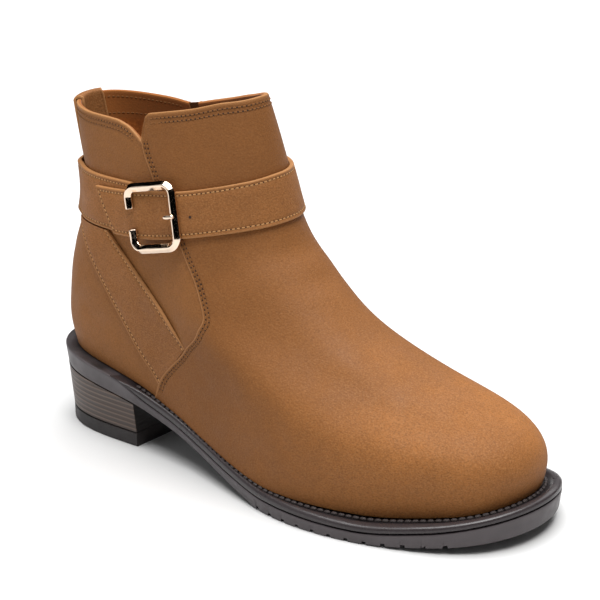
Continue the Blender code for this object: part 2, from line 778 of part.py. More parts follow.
def make_ankle_strap():
    """The two halves of the ankle strap."""
    start = zip_edge(REAR_BAND[0].low, 1.0) - 360.0
    rear = np.arange(REAR_BAND_END, start, -BAND_STEP)[::-1]
    make_band("ankle_strap_rear", REAR_BAND, [start, *rear[1:]], rear_band_height, lambda angle: 0.0)
    free = FRONT_BAND[0].degrees + FREE_END_SLANT
    end = zip_edge(FRONT_BAND[-1].low, -1.0)
    front = np.arange(free, end - BAND_STEP / 2.0, BAND_STEP)

    def slant(angle):
        return FREE_END_SLANT * (1.0 - ease(angle, free, free + 3.0 * FREE_END_SLANT))

    make_band("ankle_strap_front", FRONT_BAND, [*front, end], front_band_height, slant)


def make_slant_strap(name, table, inner, tuck):
    """Slanting strap on one side; a tucked end thins to slip under the vamp's edge."""
    knots = np.linspace(0.0, 1.0, len(table))
    share = np.linspace(0.0, 1.0, BAND_ROWS)[:, None]
    sections = []
    for along in np.linspace(0.0, 1.0, SLANT_STATIONS):
        row = SlantSection(*spline(knots, table, along))
        low = np.array([row.low_x, row.low_z])
        high = np.array([row.high_x, row.high_z])
        inset = STRAP_CHAMFER * (1.0 - 2.0 * share) * (high - low) / np.linalg.norm(high - low)
        plan = low + (high - low) * share
        thin = (SLANT_THICKNESS - SLANT_TUCK) * ease(along, TUCK_START, 1.0) * tuck
        back_at = side_place(plan[:, 0], plan[:, 1], inner)
        face_at = side_place(*(plan + inset).T, inner)
        back = lifted(*back_at, np.full(BAND_ROWS, SLANT_GAP))
        face = lifted(*face_at, np.full(BAND_ROWS, SLANT_GAP + SLANT_THICKNESS - thin))
        sections.append(np.concatenate([back, face[::-1]]))
    return loft(name, sections, BROWN_LEATHER)


def make_back_stay():
    """Strip over the heel seam that turns over the collar and ends inside as a pull."""
    share = np.linspace(-1.0, 1.0, STAY_ACROSS)
    depth = WALL + GAP

    def across(level):
        return share * STAY_HALF_WIDTH / stretch(0.0, level)

    def face(angle, level, height, up):
        raise_by = last_point(angle, level) - last_point(angle, level - STAY_PROBE)
        raise_by /= np.linalg.norm(raise_by, axis=-1, keepdims=True)
        return lifted(angle, level, np.full(STAY_ACROSS, height)) + up * raise_by

    rim = across(COLLAR_GUESS)
    tables = [COLLAR_OUTER if angle >= 0.0 else COLLAR_INNER for angle in rim]
    top = np.array([level_at(angle, collar_height(table, angle % (2 * math.pi)))
                    for angle, table in zip(rim, tables)])
    low = float(level_at(0.0, STAY_BOTTOM_Z))
    inside = float(level_at(0.0, STAY_INSIDE_Z))
    crown = GAP + STAY_THICKNESS * STAY_CROWN
    sections = []
    for part in np.linspace(0.0, 1.0, STAY_ROWS):
        level = low + (top - low) * part
        angle = across(low + (top.mean() - low) * part)
        back = face(angle, level, GAP, 0.0)
        sections.append(np.concatenate([back, face(angle, level, GAP + STAY_THICKNESS, 0.0)[::-1]]))
    for back_height, face_height in ((GAP, crown), (-depth, -WALL - crown)):
        back = face(rim, top, back_height, GAP)
        sections.append(np.concatenate([back, face(rim, top, face_height, STAY_TURN_HEIGHT)[::-1]]))
    for part in np.linspace(0.0, 1.0, STAY_INSIDE_ROWS):
        level = top + (inside - top) * part
        angle = across(top.mean() + (inside - top.mean()) * part)
        back = face(angle, level, -depth, 0.0)
        sections.append(np.concatenate([back, face(angle, level, -depth - STAY_THICKNESS, 0.0)[::-1]]))
    return loft("back_stay", sections, BROWN_LEATHER)


def buckle_place(along, across):
    """Point of the buckle's plan laid on the strap, with the direction out of the strap."""
    along = np.asarray(along, float)
    x = BUCKLE_CENTRE.x + along * math.cos(BUCKLE_TILT) - across * math.sin(BUCKLE_TILT)
    z = BUCKLE_CENTRE.z + along * math.sin(BUCKLE_TILT) + across * math.cos(BUCKLE_TILT)
    angle, level = side_place(x, z, False)
    height = front_band_height(np.degrees(angle)) + STRAP_THICKNESS + GAP
    return lifted(angle, level, height), last_normal(angle, level)


def buckle_path():
    """Middle line of the frame's bar, from one side of its opening round to the other."""
    half_length = (BUCKLE_LENGTH - BUCKLE_BAR) / 2.0
    half_height = (BUCKLE_HEIGHT - BUCKLE_BAR) / 2.0
    corner = BUCKLE_CORNER
    path = [(-half_length, BUCKLE_OPENING / 2.0)]
    turns = ((-1.0, 1.0, 180.0), (1.0, 1.0, 90.0), (1.0, -1.0, 0.0), (-1.0, -1.0, -90.0))
    for side, end, start in turns:
        for i in range(CORNER_STEPS + 1):
            turn = math.radians(start - 90.0 * i / CORNER_STEPS)
            along = side * (half_length - corner) + corner * math.cos(turn)
            path.append((along, end * (half_height - corner) + corner * math.sin(turn)))
    path.append((-half_length, -BUCKLE_OPENING / 2.0))
    dense = [path[0]]
    for start, end in zip(path, path[1:]):
        pieces = max(1, round(math.dist(start, end) / BUCKLE_STEP))
        ahead = (np.array(end) - start) / pieces
        dense += [tuple(start + ahead * i) for i in range(1, pieces + 1)]
    return np.array(dense)


def make_buckle():
    """Bevelled frame that hugs the strap, open at its rear bar, and its hooked prong."""
    path = buckle_path()
    points, normals = buckle_place(path[:, 0], path[:, 1])
    ahead = np.gradient(points, axis=0)
    beside = np.cross(normals, ahead)
    beside /= np.linalg.norm(beside, axis=-1, keepdims=True)
    half = BUCKLE_BAR / 2.0
    flat = BUCKLE_FLAT
    profile = ((-half, 0.0), (-half, BUCKLE_RIM), (-flat, BUCKLE_RIDGE),
               (flat, BUCKLE_RIDGE), (half, BUCKLE_RIM), (half, 0.0))
    sections = np.stack([points + side * beside + up * normals for side, up in profile], axis=1)
    loft("buckle_frame", sections, PALE_GOLD)

    bar = (BUCKLE_LENGTH - BUCKLE_BAR) / 2.0
    hook = bpy.data.curves.new("buckle_prong", "CURVE")
    hook.dimensions = "3D"
    hook.bevel_depth = PRONG_RADIUS * MM
    hook.bevel_resolution = 2
    hook.use_fill_caps = True
    line = hook.splines.new("POLY")
    line.points.add(len(PRONG) - 1)
    for knot, place in zip(line.points, PRONG):
        point, normal = buckle_place(bar + place.along, 0.0)
        knot.co = (*((point + normal * place.height) * MM), 1.0)
    place_part("buckle_prong", hook, PALE_GOLD)


def make_zip_chain():
    """Tape and teeth as one strip in the slit."""
    top = float(collar_height(COLLAR_INNER, math.radians(COLLAR_INNER[0].degrees))) - CHAIN_TOP_CLEAR
    half = ZIP_SLIT / 2.0 - CHAIN_CLEAR
    sections = []
    for z in np.linspace(ZIP_END_Z + CHAIN_END_CLEAR, top, CHAIN_STATIONS):
        angle, level = zip_place(z)
        turn = half / stretch(angle, level)
        corners = ((-turn, -CHAIN_DEPTH), (turn, -CHAIN_DEPTH), (turn, CHAIN_PROUD), (-turn, CHAIN_PROUD))
        sections.append([lifted(angle + side, level, height) for side, height in corners])
    return loft("zip_chain", sections, BROWN_ZIP)


def slider_frame():
    """Axes across the zip, down it and out of it at the slider, with the point on the upper."""
    point = last_point(*zip_place(SLIDER_Z))
    down = last_point(*zip_place(SLIDER_Z - SLIDER_PROBE)) - last_point(*zip_place(SLIDER_Z + SLIDER_PROBE))
    out = last_normal(*zip_place(SLIDER_Z))
    down = down / np.linalg.norm(down)
    out = out - down * np.dot(out, down)
    out = out / np.linalg.norm(out)
    return np.cross(down, out), down, out, point


def frame_matrix(across, down, out, point):
    """Placement whose local axes are across, down and out."""
    matrix = Matrix(np.stack([across, down, out], axis=1).tolist()).to_4x4()
    matrix.translation = point * MM
    return matrix


def make_zip_slider():
    """Slider plate with the arch that holds the pull."""
    across, down, out, point = slider_frame()
    base = VAMP_STEP + SLIDER_CLEAR
    bpy.ops.mesh.primitive_cube_add(size=1.0)
    plate = bpy.context.active_object
    for corner in plate.data.vertices:
        x, y, z = corner.co
        height = base + (z + 0.5) * SLIDER_THICKNESS
        corner.co = (x * SLIDER_WIDTH * MM, y * SLIDER_LENGTH * MM, height * MM)
    plate.name = plate.data.name = "zip_slider"
    plate.data.materials.append(finish_material("zip_slider", TAN_LACQUER))
    for collection in plate.users_collection:
        collection.objects.unlink(plate)
    PARTS.objects.link(plate)
    plate.parent = ROOT
    plate.matrix_local = frame_matrix(across, down, out, point)
    edge = plate.modifiers.new("edge", "BEVEL")
    edge.width = SLIDER_BEVEL * MM
    edge.segments = 2

    foot = base + SLIDER_THICKNESS - ARCH_ROOT
    under = base + SLIDER_THICKNESS + 2.0 * PIVOT_ROOM
    end = ARCH_LENGTH / 2.0
    post = end - ARCH_POST
    profile = ((-end, foot), (-end, under + ARCH_BAR), (end, under + ARCH_BAR), (end, foot),
               (post, foot), (post, under), (-post, under), (-post, foot))
    half = ARCH_WIDTH / 2.0
    arch = bpy.data.objects.new("arch", loft_mesh("arch", [[(side, y, z) for y, z in profile]
                                                           for side in (-half, half)]))
    CUTTERS.objects.link(arch)
    arch.parent = plate
    arch.hide_render = True
    arch.display_type = "WIRE"
    join = plate.modifiers.new("arch", "BOOLEAN")
    join.operation = "UNION"
    join.object = arch


def pull_outline():
    """Outline of the pull from its hinge bar down, and the window that the arch passes through."""
    head = PULL_HEAD_WIDTH / 2.0
    wide = PULL_WIDTH / 2.0
    bar = PULL_BAR / 2.0
    round_end = [(wide * math.cos(turn), PULL_LENGTH - wide + wide * math.sin(turn))
                 for turn in np.linspace(0.0, math.pi, 11)]
    window_end = bar + PULL_WINDOW_LENGTH
    outer = [(-head + bar, -bar), (head - bar, -bar), (head, 0.0), (head, window_end)]
    outer += [(wide, PULL_SHOULDER)] + round_end + [(-wide, PULL_SHOULDER)]
    outer += [(-head, window_end), (-head, 0.0)]
    half = PULL_WINDOW_WIDTH / 2.0
    window = [(-half, bar), (-half, window_end), (half, window_end), (half, bar)]
    return outer, window


def make_zip_pull():
    """Pull tab whose top bar hangs under the slider's arch; its origin is on the hinge."""
    across, down, out, point = slider_frame()
    height = VAMP_STEP + SLIDER_CLEAR + SLIDER_THICKNESS + PIVOT_ROOM
    plan = bpy.data.curves.new("zip_pull", "CURVE")
    plan.dimensions = "2D"
    plan.fill_mode = "BOTH"
    plan.extrude = PULL_THICKNESS / 2.0 * MM
    for loop in pull_outline():
        line = plan.splines.new("POLY")
        line.points.add(len(loop) - 1)
        line.use_cyclic_u = True
        for knot, (x, y) in zip(line.points, loop):
            knot.co = (x * MM, y * MM, 0.0, 1.0)
    pull = place_part("zip_pull", plan, TAN_LACQUER)
    pull.matrix_local = frame_matrix(across, down, out, point + height * out + PIVOT_DOWN * down)


def make_boot():
    """All sub-parts of the boot."""
    make_outsole()
    make_welt()
    make_heel()
    make_insole()
    make_upper()
    make_back_stay()
    make_ankle_strap()
    make_slant_strap("slant_strap_outer", SLANT_OUTER, False, 1.0)
    make_slant_strap("slant_strap_inner", SLANT_INNER, True, 0.0)
    make_buckle()
    make_zip_chain()
    make_zip_slider()
    make_zip_pull()


for leftover in list(bpy.data.objects):
    bpy.data.objects.remove(leftover, do_unlink=True)
PARTS = bpy.data.collections.new("block_heel_ankle_boot")
CUTTERS = bpy.data.collections.new("cutters")
bpy.context.scene.collection.children.link(PARTS)
bpy.context.scene.collection.children.link(CUTTERS)
sole_sides = outline_at(SOLE_TOP, np.linspace(0.0, 2 * math.pi, 721))[1]
ROOT = bpy.data.objects.new("boot", None)
ROOT.location = (-SOLE_TOP.front_x / 2.0 * MM, -(sole_sides.min() + sole_sides.max()) / 2.0 * MM, 0.0)
PARTS.objects.link(ROOT)
bpy.context.view_layer.update()
make_boot()
bpy.context.view_layer.update()
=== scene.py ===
"""Looks of the right ankle boot: leather panels, straps, stitching, zip, buckle and sole.

Shapes are worked out in millimetres from the same last, outlines and lines as the solids:
x runs from the back of the sole to the toe, y towards the inner side of the foot, z up.
"""

import logging
import math
from dataclasses import dataclass
from enum import Enum
from typing import Callable, NamedTuple, Sequence

import bmesh
import bpy
import numpy as np
from mathutils import Matrix, Vector


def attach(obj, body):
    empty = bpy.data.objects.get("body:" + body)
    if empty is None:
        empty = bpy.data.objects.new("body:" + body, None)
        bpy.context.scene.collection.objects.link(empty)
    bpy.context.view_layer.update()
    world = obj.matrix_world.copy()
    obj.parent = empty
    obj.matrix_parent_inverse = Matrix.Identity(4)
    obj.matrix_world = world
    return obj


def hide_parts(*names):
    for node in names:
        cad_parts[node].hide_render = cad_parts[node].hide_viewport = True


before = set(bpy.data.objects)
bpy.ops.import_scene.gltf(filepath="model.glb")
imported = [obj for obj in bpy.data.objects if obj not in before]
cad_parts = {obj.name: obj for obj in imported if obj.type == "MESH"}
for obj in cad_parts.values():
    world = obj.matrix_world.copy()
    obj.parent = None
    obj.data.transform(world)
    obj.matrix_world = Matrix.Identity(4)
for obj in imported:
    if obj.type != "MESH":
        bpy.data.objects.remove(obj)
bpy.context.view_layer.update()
LOG = logging.getLogger("boot")

Array = np.ndarray
Pair = tuple[float, float]
Triple = tuple[float, float, float]
Steps = tuple[float, ...]
Colour = Triple
Curve = Callable[[Array], Array]
Line = tuple[Array, Array]
Painted = dict[str, Array]
Mesh = bpy.types.Mesh
Material = bpy.types.Material
Socket = bpy.types.NodeSocket

MM = 0.001
GAP = 0.3
WALL = 2.0
VAMP_STEP = 0.8
SMOOTH_ANGLE = math.radians(40.0)
FULL_TURN = 2.0 * math.pi
EVEN = (1.0, 1.0, 1.0)


class Body(Enum):
    """Rigid bodies that pieces ride on."""

    BOOT = "boot"
    PULL = "zip_pull"


class Side(Enum):
    """Sides of the foot."""

    OUTER = "outer"
    INNER = "inner"


class LastRing(NamedTuple):
    """Section of the last: a sloping ring with half widths at four places and round ends."""

    back_x: float
    back_z: float
    front_x: float
    front_z: float
    heel_end: float
    heel: float
    waist: float
    ball: float
    toe: float
    toe_end: float


class Outline(NamedTuple):
    """Outline of the sole seen from above."""

    back_x: float
    front_x: float
    heel_end: float
    heel: float
    waist: float
    ball: float
    toe: float
    toe_end: float


class SoleSection(NamedTuple):
    """Height of the sole's two faces at a place along the foot."""

    x: float
    top: float
    bottom: float


class Bend(NamedTuple):
    """Sideways bend of the foot's centre line."""

    x: float
    across: float


class SidePoint(NamedTuple):
    """Place on a side of the upper."""

    x: float
    z: float


class CollarPoint(NamedTuple):
    """Height of the collar at an angle round it."""

    degrees: float
    z: float


class BandEdge(NamedTuple):
    """Heights of a strap's two edges at an angle round the ankle."""

    degrees: float
    low: float
    high: float


class SlantSection(NamedTuple):
    """The two edges of a slanting strap at one place along it."""

    high_x: float
    high_z: float
    low_x: float
    low_z: float


class Crease(NamedTuple):
    """Soft trough in the leather between two places given by angle and height."""

    start_degrees: float
    start_z: float
    end_degrees: float
    end_z: float
    width: float
    depth: float


class ProfilePoint(NamedTuple):
    """Place in a section: share of its width, and height."""

    share: float
    height: float


def table(kind: type, *rows: tuple) -> tuple:
    """Rows of a table as named tuples of one kind."""
    return tuple(kind(*row) for row in rows)


LAST = table(LastRing,
    (6.0, 38.0, 249.0, 19.0, 24.0, 25.5, 28.5, 42.0, 32.5, 41.0),
    (3.0, 50.0, 251.5, 30.0, 24.0, 27.0, 29.5, 43.0, 35.0, 38.0),
    (3.5, 62.0, 243.5, 42.0, 24.0, 27.0, 30.0, 41.5, 33.0, 33.0),
    (5.0, 73.0, 215.0, 54.0, 24.0, 26.5, 30.0, 37.5, 25.0, 28.0),
    (7.5, 84.0, 176.0, 68.0, 23.0, 25.0, 29.8, 34.0, 23.0, 25.0),
    (12.2, 96.0, 151.5, 85.0, 21.0, 23.5, 29.3, 32.0, 22.5, 23.0),
    (16.0, 110.0, 131.0, 107.0, 19.0, 21.5, 28.5, 30.0, 22.0, 21.0),
    (13.5, 127.0, 121.5, 136.0, 17.0, 19.0, 26.5, 27.5, 19.5, 18.0),
    (7.5, 153.0, 112.0, 168.0, 12.5, 15.0, 21.5, 22.0, 15.0, 13.5))
WIDTH_ANGLES = np.radians((0.0, 40.0, 75.0, 105.0, 140.0, 180.0))
CENTRE_LINE = table(Bend,
    (0.0, 0.0), (40.0, 0.0), (100.0, -4.0), (160.0, -2.0), (210.0, 3.0), (258.0, 5.0))
SOLE_TOP = Outline(0.0, 258.0, 27.0, 30.5, 31.0, 48.0, 41.0, 46.5)
SOLE_BOTTOM = Outline(1.2, 256.8, 26.8, 29.4, 29.0, 47.5, 41.0, 46.5)
HEEL_BOTTOM = Outline(3.0, 254.5, 25.5, 27.6, 27.8, 46.0, 39.5, 44.5)
SOLE = table(SoleSection,
    (0.0, 37.6, 28.4), (30.0, 35.2, 26.0), (58.0, 30.9, 21.9), (82.0, 24.8, 15.8), (105.0, 18.2, 9.4),
    (130.0, 12.5, 3.4), (152.0, 9.3, 0.0), (196.0, 8.2, 0.0), (228.0, 12.0, 2.2), (258.0, 18.4, 6.0))
VAMP_SEAM = table(SidePoint,
    (73.0, 28.0), (79.0, 39.5), (96.5, 57.5), (106.5, 68.5), (109.0, 76.0), (106.0, 82.5), (100.5, 92.0),
    (95.0, 100.0), (75.5, 130.5), (67.8, 144.0), (66.0, 155.0))
ZIP_LINE = table(SidePoint,
    (80.0, 32.0), (76.0, 41.0), (71.0, 58.0), (67.0, 80.0), (61.0, 115.0), (57.0, 135.0), (54.0, 152.0))
COLLAR_OUTER = table(CollarPoint,
    (0.0, 150.5), (45.0, 149.8), (76.0, 150.8), (84.0, 149.6), (90.0, 146.6), (94.0, 143.5))
COLLAR_FRONT = table(CollarPoint,
    (94.0, 145.5), (95.6, 150.5), (97.2, 154.2), (99.5, 156.6), (105.0, 157.8), (124.0, 161.0),
    (150.0, 165.0), (180.0, 166.0), (207.0, 164.5), (233.0, 160.0), (256.0, 154.5), (275.0, 150.0))
COLLAR_INNER = table(CollarPoint,
    (280.0, 149.0), (295.0, 150.5), (325.0, 151.4), (360.0, 150.5))
REAR_BAND = table(BandEdge,
    (-82.0, 108.0, 130.0), (-45.0, 104.5, 127.0), (0.0, 102.0, 125.0), (45.0, 101.5, 124.5),
    (86.0, 102.5, 126.0))
FRONT_BAND = table(BandEdge,
    (60.5, 101.0, 120.5), (75.0, 102.0, 121.8), (95.0, 104.0, 124.3), (113.0, 107.3, 126.6),
    (134.0, 110.6, 130.0), (153.0, 112.4, 132.4), (180.0, 113.6, 134.2), (220.0, 113.2, 133.4),
    (278.0, 112.0, 132.0))
SLANT_OUTER = table(SlantSection,
    (47.5, 101.0, 23.0, 100.6), (59.5, 91.0, 34.5, 86.5), (71.5, 81.5, 46.5, 72.0),
    (84.5, 70.5, 59.5, 56.0), (95.6, 57.2, 76.0, 34.8))
SLANT_INNER = table(SlantSection,
    (34.0, 103.0, 19.5, 101.2), (43.5, 100.5, 31.0, 91.5), (52.5, 98.0, 44.5, 80.5),
    (60.3, 95.0, 64.6, 70.0))
CREASES = table(Crease,
    (142.0, 101.0, 214.0, 102.0, 5.5, 0.8), (150.0, 92.0, 200.0, 90.0, 5.0, 0.45),
    (112.0, 90.0, 136.0, 100.0, 6.5, 0.75), (116.0, 44.0, 146.0, 62.0, 8.0, 0.7),
    (132.0, 38.0, 160.0, 54.0, 7.0, 0.4), (104.0, 140.0, 118.0, 150.0, 7.0, 0.3),
    (238.0, 88.0, 214.0, 99.0, 6.0, 0.35))
WELT_PROFILE = table(ProfilePoint,
    (0.16, -3.1), (0.06, -2.95), (0.0, -2.5), (0.0, -1.1), (0.04, -0.5), (0.12, -0.05), (0.24, 0.3),
    (0.36, 0.35), (0.45, 0.1), (0.5, -0.4), (0.56, -0.6), (0.86, -0.6), (1.0, -0.3))
PRONG = table(ProfilePoint,
    (-5.0, 1.0), (-3.5, 2.2), (-2.0, 3.95), (0.0, 4.15), (2.1, 3.75))


def spline(knots: Sequence[float], values: Sequence, at: Array) -> Array:
    """Natural cubic spline.

    Args:
        knots: Rising places of the values.
        values: Values at the knots, which may have several columns.
        at: Places to work out.

    Returns:
        Values at those places.
    """
    knots = np.asarray(knots, float)
    values = np.asarray(values, float)
    step = np.diff(knots)
    count = len(knots)
    matrix = np.eye(count)
    right = np.zeros(values.shape)
    for i in range(1, count - 1):
        matrix[i, i - 1:i + 2] = step[i - 1], 2.0 * (step[i - 1] + step[i]), step[i]
        rise = (values[i + 1] - values[i]) / step[i] - (values[i] - values[i - 1]) / step[i - 1]
        right[i] = 6.0 * rise
    bend = np.linalg.solve(matrix, right)
    at = np.asarray(at, float)
    i = np.clip(np.searchsorted(knots, at) - 1, 0, count - 2)
    shape = at.shape + (1,) * (values.ndim - 1)
    width = step[i].reshape(shape)
    left = ((knots[i + 1] - at) / step[i]).reshape(shape)
    rest = 1.0 - left
    curve = (left ** 3 - left) * bend[i] + (rest ** 3 - rest) * bend[i + 1]
    return left * values[i] + rest * values[i + 1] + curve * width ** 2 / 6.0


def monotone(knots: Sequence[float], values: Sequence[float], at: Array) -> Array:
    """Smooth curve that never overshoots its knots.

    Args:
        knots: Rising places of the values.
        values: Values at the knots.
        at: Places to work out.

    Returns:
        Values at those places.
    """
    knots = np.asarray(knots, float)
    values = np.asarray(values, float)
    step = np.diff(knots)
    slope = np.diff(values) / step
    tangent = np.zeros(len(knots))
    same = slope[:-1] * slope[1:] > 0.0
    tangent[1:-1][same] = 2.0 * (slope[:-1] * slope[1:])[same] / (slope[:-1] + slope[1:])[same]
    tangent[0], tangent[-1] = slope[0], slope[-1]
    at = np.clip(np.asarray(at, float), knots[0], knots[-1])
    i = np.clip(np.searchsorted(knots, at) - 1, 0, len(step) - 1)
    t = (at - knots[i]) / step[i]
    blend = t * t * (3.0 - 2.0 * t)
    start = t * (1.0 - t) ** 2 * step[i] * tangent[i]
    end = t * t * (t - 1.0) * step[i] * tangent[i + 1]
    return values[i] * (1.0 - blend) + values[i + 1] * blend + start + end


def column(rows: Sequence, name: str) -> list[float]:
    """One named column of a table."""
    return [getattr(row, name) for row in rows]


def ease(value: Array, start: float, end: float) -> Array:
    """Smooth step from 0 at start to 1 at end."""
    t = np.clip((np.asarray(value, float) - start) / (end - start), 0.0, 1.0)
    return t * t * (3.0 - 2.0 * t)


def bell(distance: Array, width: float) -> Array:
    """Bell curve of a distance, 1 in the middle."""
    return np.exp(-(np.asarray(distance, float) / width) ** 2)


def squared(value: Array, power: float) -> Array:
    """Sine or cosine brought nearer to its ends, which squares off a round."""
    return np.sign(value) * np.abs(value) ** power


def rounded(distance: Array, radius: float) -> Array:
    """Drop of a rounded edge at a distance in from it."""
    inside = np.clip(radius - np.asarray(distance, float), 0.0, radius)
    return radius - np.sqrt(np.maximum(radius ** 2 - inside ** 2, 0.0))


def edge_shares(length: float, count: int, steps: Sequence[float]) -> Array:
    """Shares of a length that crowd towards both of its ends.

    Args:
        length: Length in millimetres.
        count: Places between the crowded ends.
        steps: Distances of the crowded places from an end.

    Returns:
        Rising shares from 0 to 1.
    """
    near = np.array(steps) / length
    middle = np.linspace(near[-1], 1.0 - near[-1], count + 2)[1:-1]
    return np.concatenate([near, middle, 1.0 - near[::-1]])


def unit(vectors: Array) -> Array:
    """Vectors brought to length 1."""
    return vectors / np.linalg.norm(vectors, axis=-1, keepdims=True)


def shrink(outline: Outline, by: float) -> Outline:
    """The outline drawn in by a distance all round."""
    widths = [width - by for width in outline[2:]]
    return Outline(outline.back_x + by, outline.front_x - by, *widths)


@dataclass(frozen=True)
class Last:
    """Surface that the upper is made on, and the sole's outlines and heights."""

    straightens_at: float = 0.7
    straightens_by: float = 0.8
    feather_fades_at: float = 0.62
    feather_gap: float = 0.8
    probe: float = 1e-3
    halvings: int = 34
    zip_rounds: int = 6

    def origin(self) -> Array:
        """Offset that brings the shapes into the solids' frame."""
        sides = self.outline(SOLE_TOP, np.linspace(0.0, FULL_TURN, 721))[1]
        return np.array([-SOLE_TOP.front_x / 2.0, -(sides.min() + sides.max()) / 2.0, 0.0])

    def width_weights(self, angle: Array) -> Array:
        """Share of each half width at an angle, the same on both sides of the foot.

        Args:
            angle: Angles round the foot.

        Returns:
            Shares, in a last column of their own.
        """
        left = list(-WIDTH_ANGLES[2:0:-1])
        right = list(FULL_TURN - WIDTH_ANGLES[-2:-4:-1])
        owner = [2, 1, 0, 1, 2, 3, 4, 5, 4, 3]
        turned = np.where(angle > math.pi, FULL_TURN - angle, angle)
        return spline(left + list(WIDTH_ANGLES) + right, np.eye(len(WIDTH_ANGLES))[owner], turned)

    def half_width(self, ends: tuple, widths: tuple, length: Array, angle: Array) -> Array:
        """Distance of an outline from the centre line.

        Args:
            ends: Radii of the back and front ends.
            widths: Half widths at the four places.
            length: Length of the outline.
            angle: Angles round it.

        Returns:
            Distances towards the outer side.
        """
        across = np.sin(WIDTH_ANGLES[1:-1])
        reach = [np.sqrt(ends[0] * length / 2.0)]
        reach += [np.broadcast_to(width / share, np.shape(length)) for width, share in zip(widths, across)]
        reach.append(np.sqrt(ends[1] * length / 2.0))
        return np.sin(angle) * (self.width_weights(angle) * np.stack(reach, -1)).sum(-1)

    def centre_line(self, x: Array) -> Array:
        """Sideways bend of the foot at x."""
        inside = np.clip(x, 0.0, SOLE_TOP.front_x)
        return spline(column(CENTRE_LINE, "x"), column(CENTRE_LINE, "across"), inside)

    def sole_top(self, x: Array) -> Array:
        """Height of the sole's upper face."""
        return monotone(column(SOLE, "x"), column(SOLE, "top"), x)

    def sole_bottom(self, x: Array) -> Array:
        """Height of the sole's lower face."""
        return monotone(column(SOLE, "x"), column(SOLE, "bottom"), x)

    def outline(self, outline: Outline, angle: Array) -> tuple[Array, Array]:
        """Plan positions on an outline of the sole.

        Args:
            outline: The outline.
            angle: Angles round it.

        Returns:
            Places along the foot and across it.
        """
        angle = np.asarray(angle, float)
        length = outline.front_x - outline.back_x
        x = outline.back_x + length * (1.0 - np.cos(angle)) / 2.0
        ends = (outline.heel_end, outline.toe_end)
        side = self.half_width(ends, outline[3:7], np.full(angle.shape, length), angle)
        return x, self.centre_line(x) - side

    def outline_angle(self, outline: Outline, x: float) -> float:
        """Angle on the outer side of an outline at x."""
        return math.acos(1.0 - 2.0 * (x - outline.back_x) / (outline.front_x - outline.back_x))

    def loop(self, outline: Outline, angles: Array, height: Curve) -> Array:
        """Points of an outline at heights worked out from x."""
        x, y = self.outline(outline, angles)
        return np.stack([x, y, height(x)], -1)

    def row(self, level: Array) -> LastRing:
        """The last's section at a level between the feather line (0) and the collar (1)."""
        return LastRing(*np.moveaxis(spline(np.linspace(0.0, 1.0, len(LAST)), LAST, level), -1, 0))

    def point(self, angle: Array, level: Array) -> Array:
        """Points of the upper's outer face.

        Args:
            angle: Angles from the back over the outer side.
            level: Levels between the feather line and the collar.

        Returns:
            Points in millimetres.
        """
        angle = np.asarray(angle, float) % FULL_TURN
        angle, level = np.broadcast_arrays(angle, np.asarray(level, float))
        row = self.row(level)
        share = (1.0 - np.cos(angle)) / 2.0
        length = row.front_x - row.back_x
        x = row.back_x + length * share
        widths = (row.heel, row.waist, row.ball, row.toe)
        side = self.half_width((row.heel_end, row.toe_end), widths, length, angle)
        keep = 1.0 - self.straightens_by * np.clip(level / self.straightens_at, 0.0, 1.0)
        fade = np.clip(1.0 - level / self.feather_fades_at, 0.0, 1.0) ** 2
        feather = LAST[0].back_z + (LAST[0].front_z - LAST[0].back_z) * share
        drop = fade * (self.sole_top(x) + self.feather_gap - feather)
        z = row.back_z + (row.front_z - row.back_z) * share + drop
        return np.stack([x, self.centre_line(x) * keep - side, z], -1)

    def slope(self, angle: Array, level: Array, turn: float, climb: float) -> Array:
        """How the face's points change round the ring or up the upper.

        Args:
            angle: Angles round the upper.
            level: Its levels.
            turn: 1 for the change per radian round the ring, else 0.
            climb: 1 for the change per unit of level, else 0.

        Returns:
            Vectors along the face.
        """
        turn, climb = turn * self.probe, climb * self.probe
        ahead = self.point(angle + turn, level + climb) - self.point(angle - turn, level - climb)
        return ahead / (2.0 * self.probe)

    def normal(self, angle: Array, level: Array) -> Array:
        """Directions out of the upper's face."""
        level = np.clip(level, self.probe, 1.0 - self.probe)
        return unit(np.cross(self.slope(angle, level, 1.0, 0.0), self.slope(angle, level, 0.0, 1.0)))

    def lifted(self, angle: Array, level: Array, height: Array) -> Array:
        """Points at heights above the upper's outer face."""
        return self.point(angle, level) + self.normal(angle, level) * np.asarray(height)[..., None]

    def stretch(self, angle: Array, level: Array) -> Array:
        """Length of the face per radian round the ring."""
        return np.linalg.norm(self.slope(angle, level, 1.0, 0.0), axis=-1)

    def rise(self, angle: Array, level: Array) -> Array:
        """Length of the face per unit of level."""
        level = np.clip(level, self.probe, 1.0 - self.probe)
        return np.linalg.norm(self.slope(angle, level, 0.0, 1.0), axis=-1)

    def bisect(self, test: Curve, shape: tuple) -> Array:
        """Level at which a rising quantity changes sign, for many points at once.

        Args:
            test: The quantity by level.
            shape: Shape of the answer.

        Returns:
            Levels.
        """
        low, high = np.zeros(shape), np.ones(shape)
        for _ in range(self.halvings):
            middle = (low + high) / 2.0
            above = test(middle) > 0.0
            high = np.where(above, middle, high)
            low = np.where(above, low, middle)
        return (low + high) / 2.0

    def level_at(self, angle: Array, z: Array) -> Array:
        """Level of the upper at a height."""
        angle, z = np.broadcast_arrays(np.asarray(angle, float), np.asarray(z, float))
        return self.bisect(lambda level: self.point(angle, level)[..., 2] - z, angle.shape)

    def side_place(self, x: Array, z: Array, side: Side) -> tuple[Array, Array]:
        """Angle and level of the points with this x and height.

        Args:
            x: Places along the foot.
            z: Heights.
            side: Side of the foot.

        Returns:
            Angles and levels.
        """
        x, z = np.broadcast_arrays(np.asarray(x, float), np.asarray(z, float))

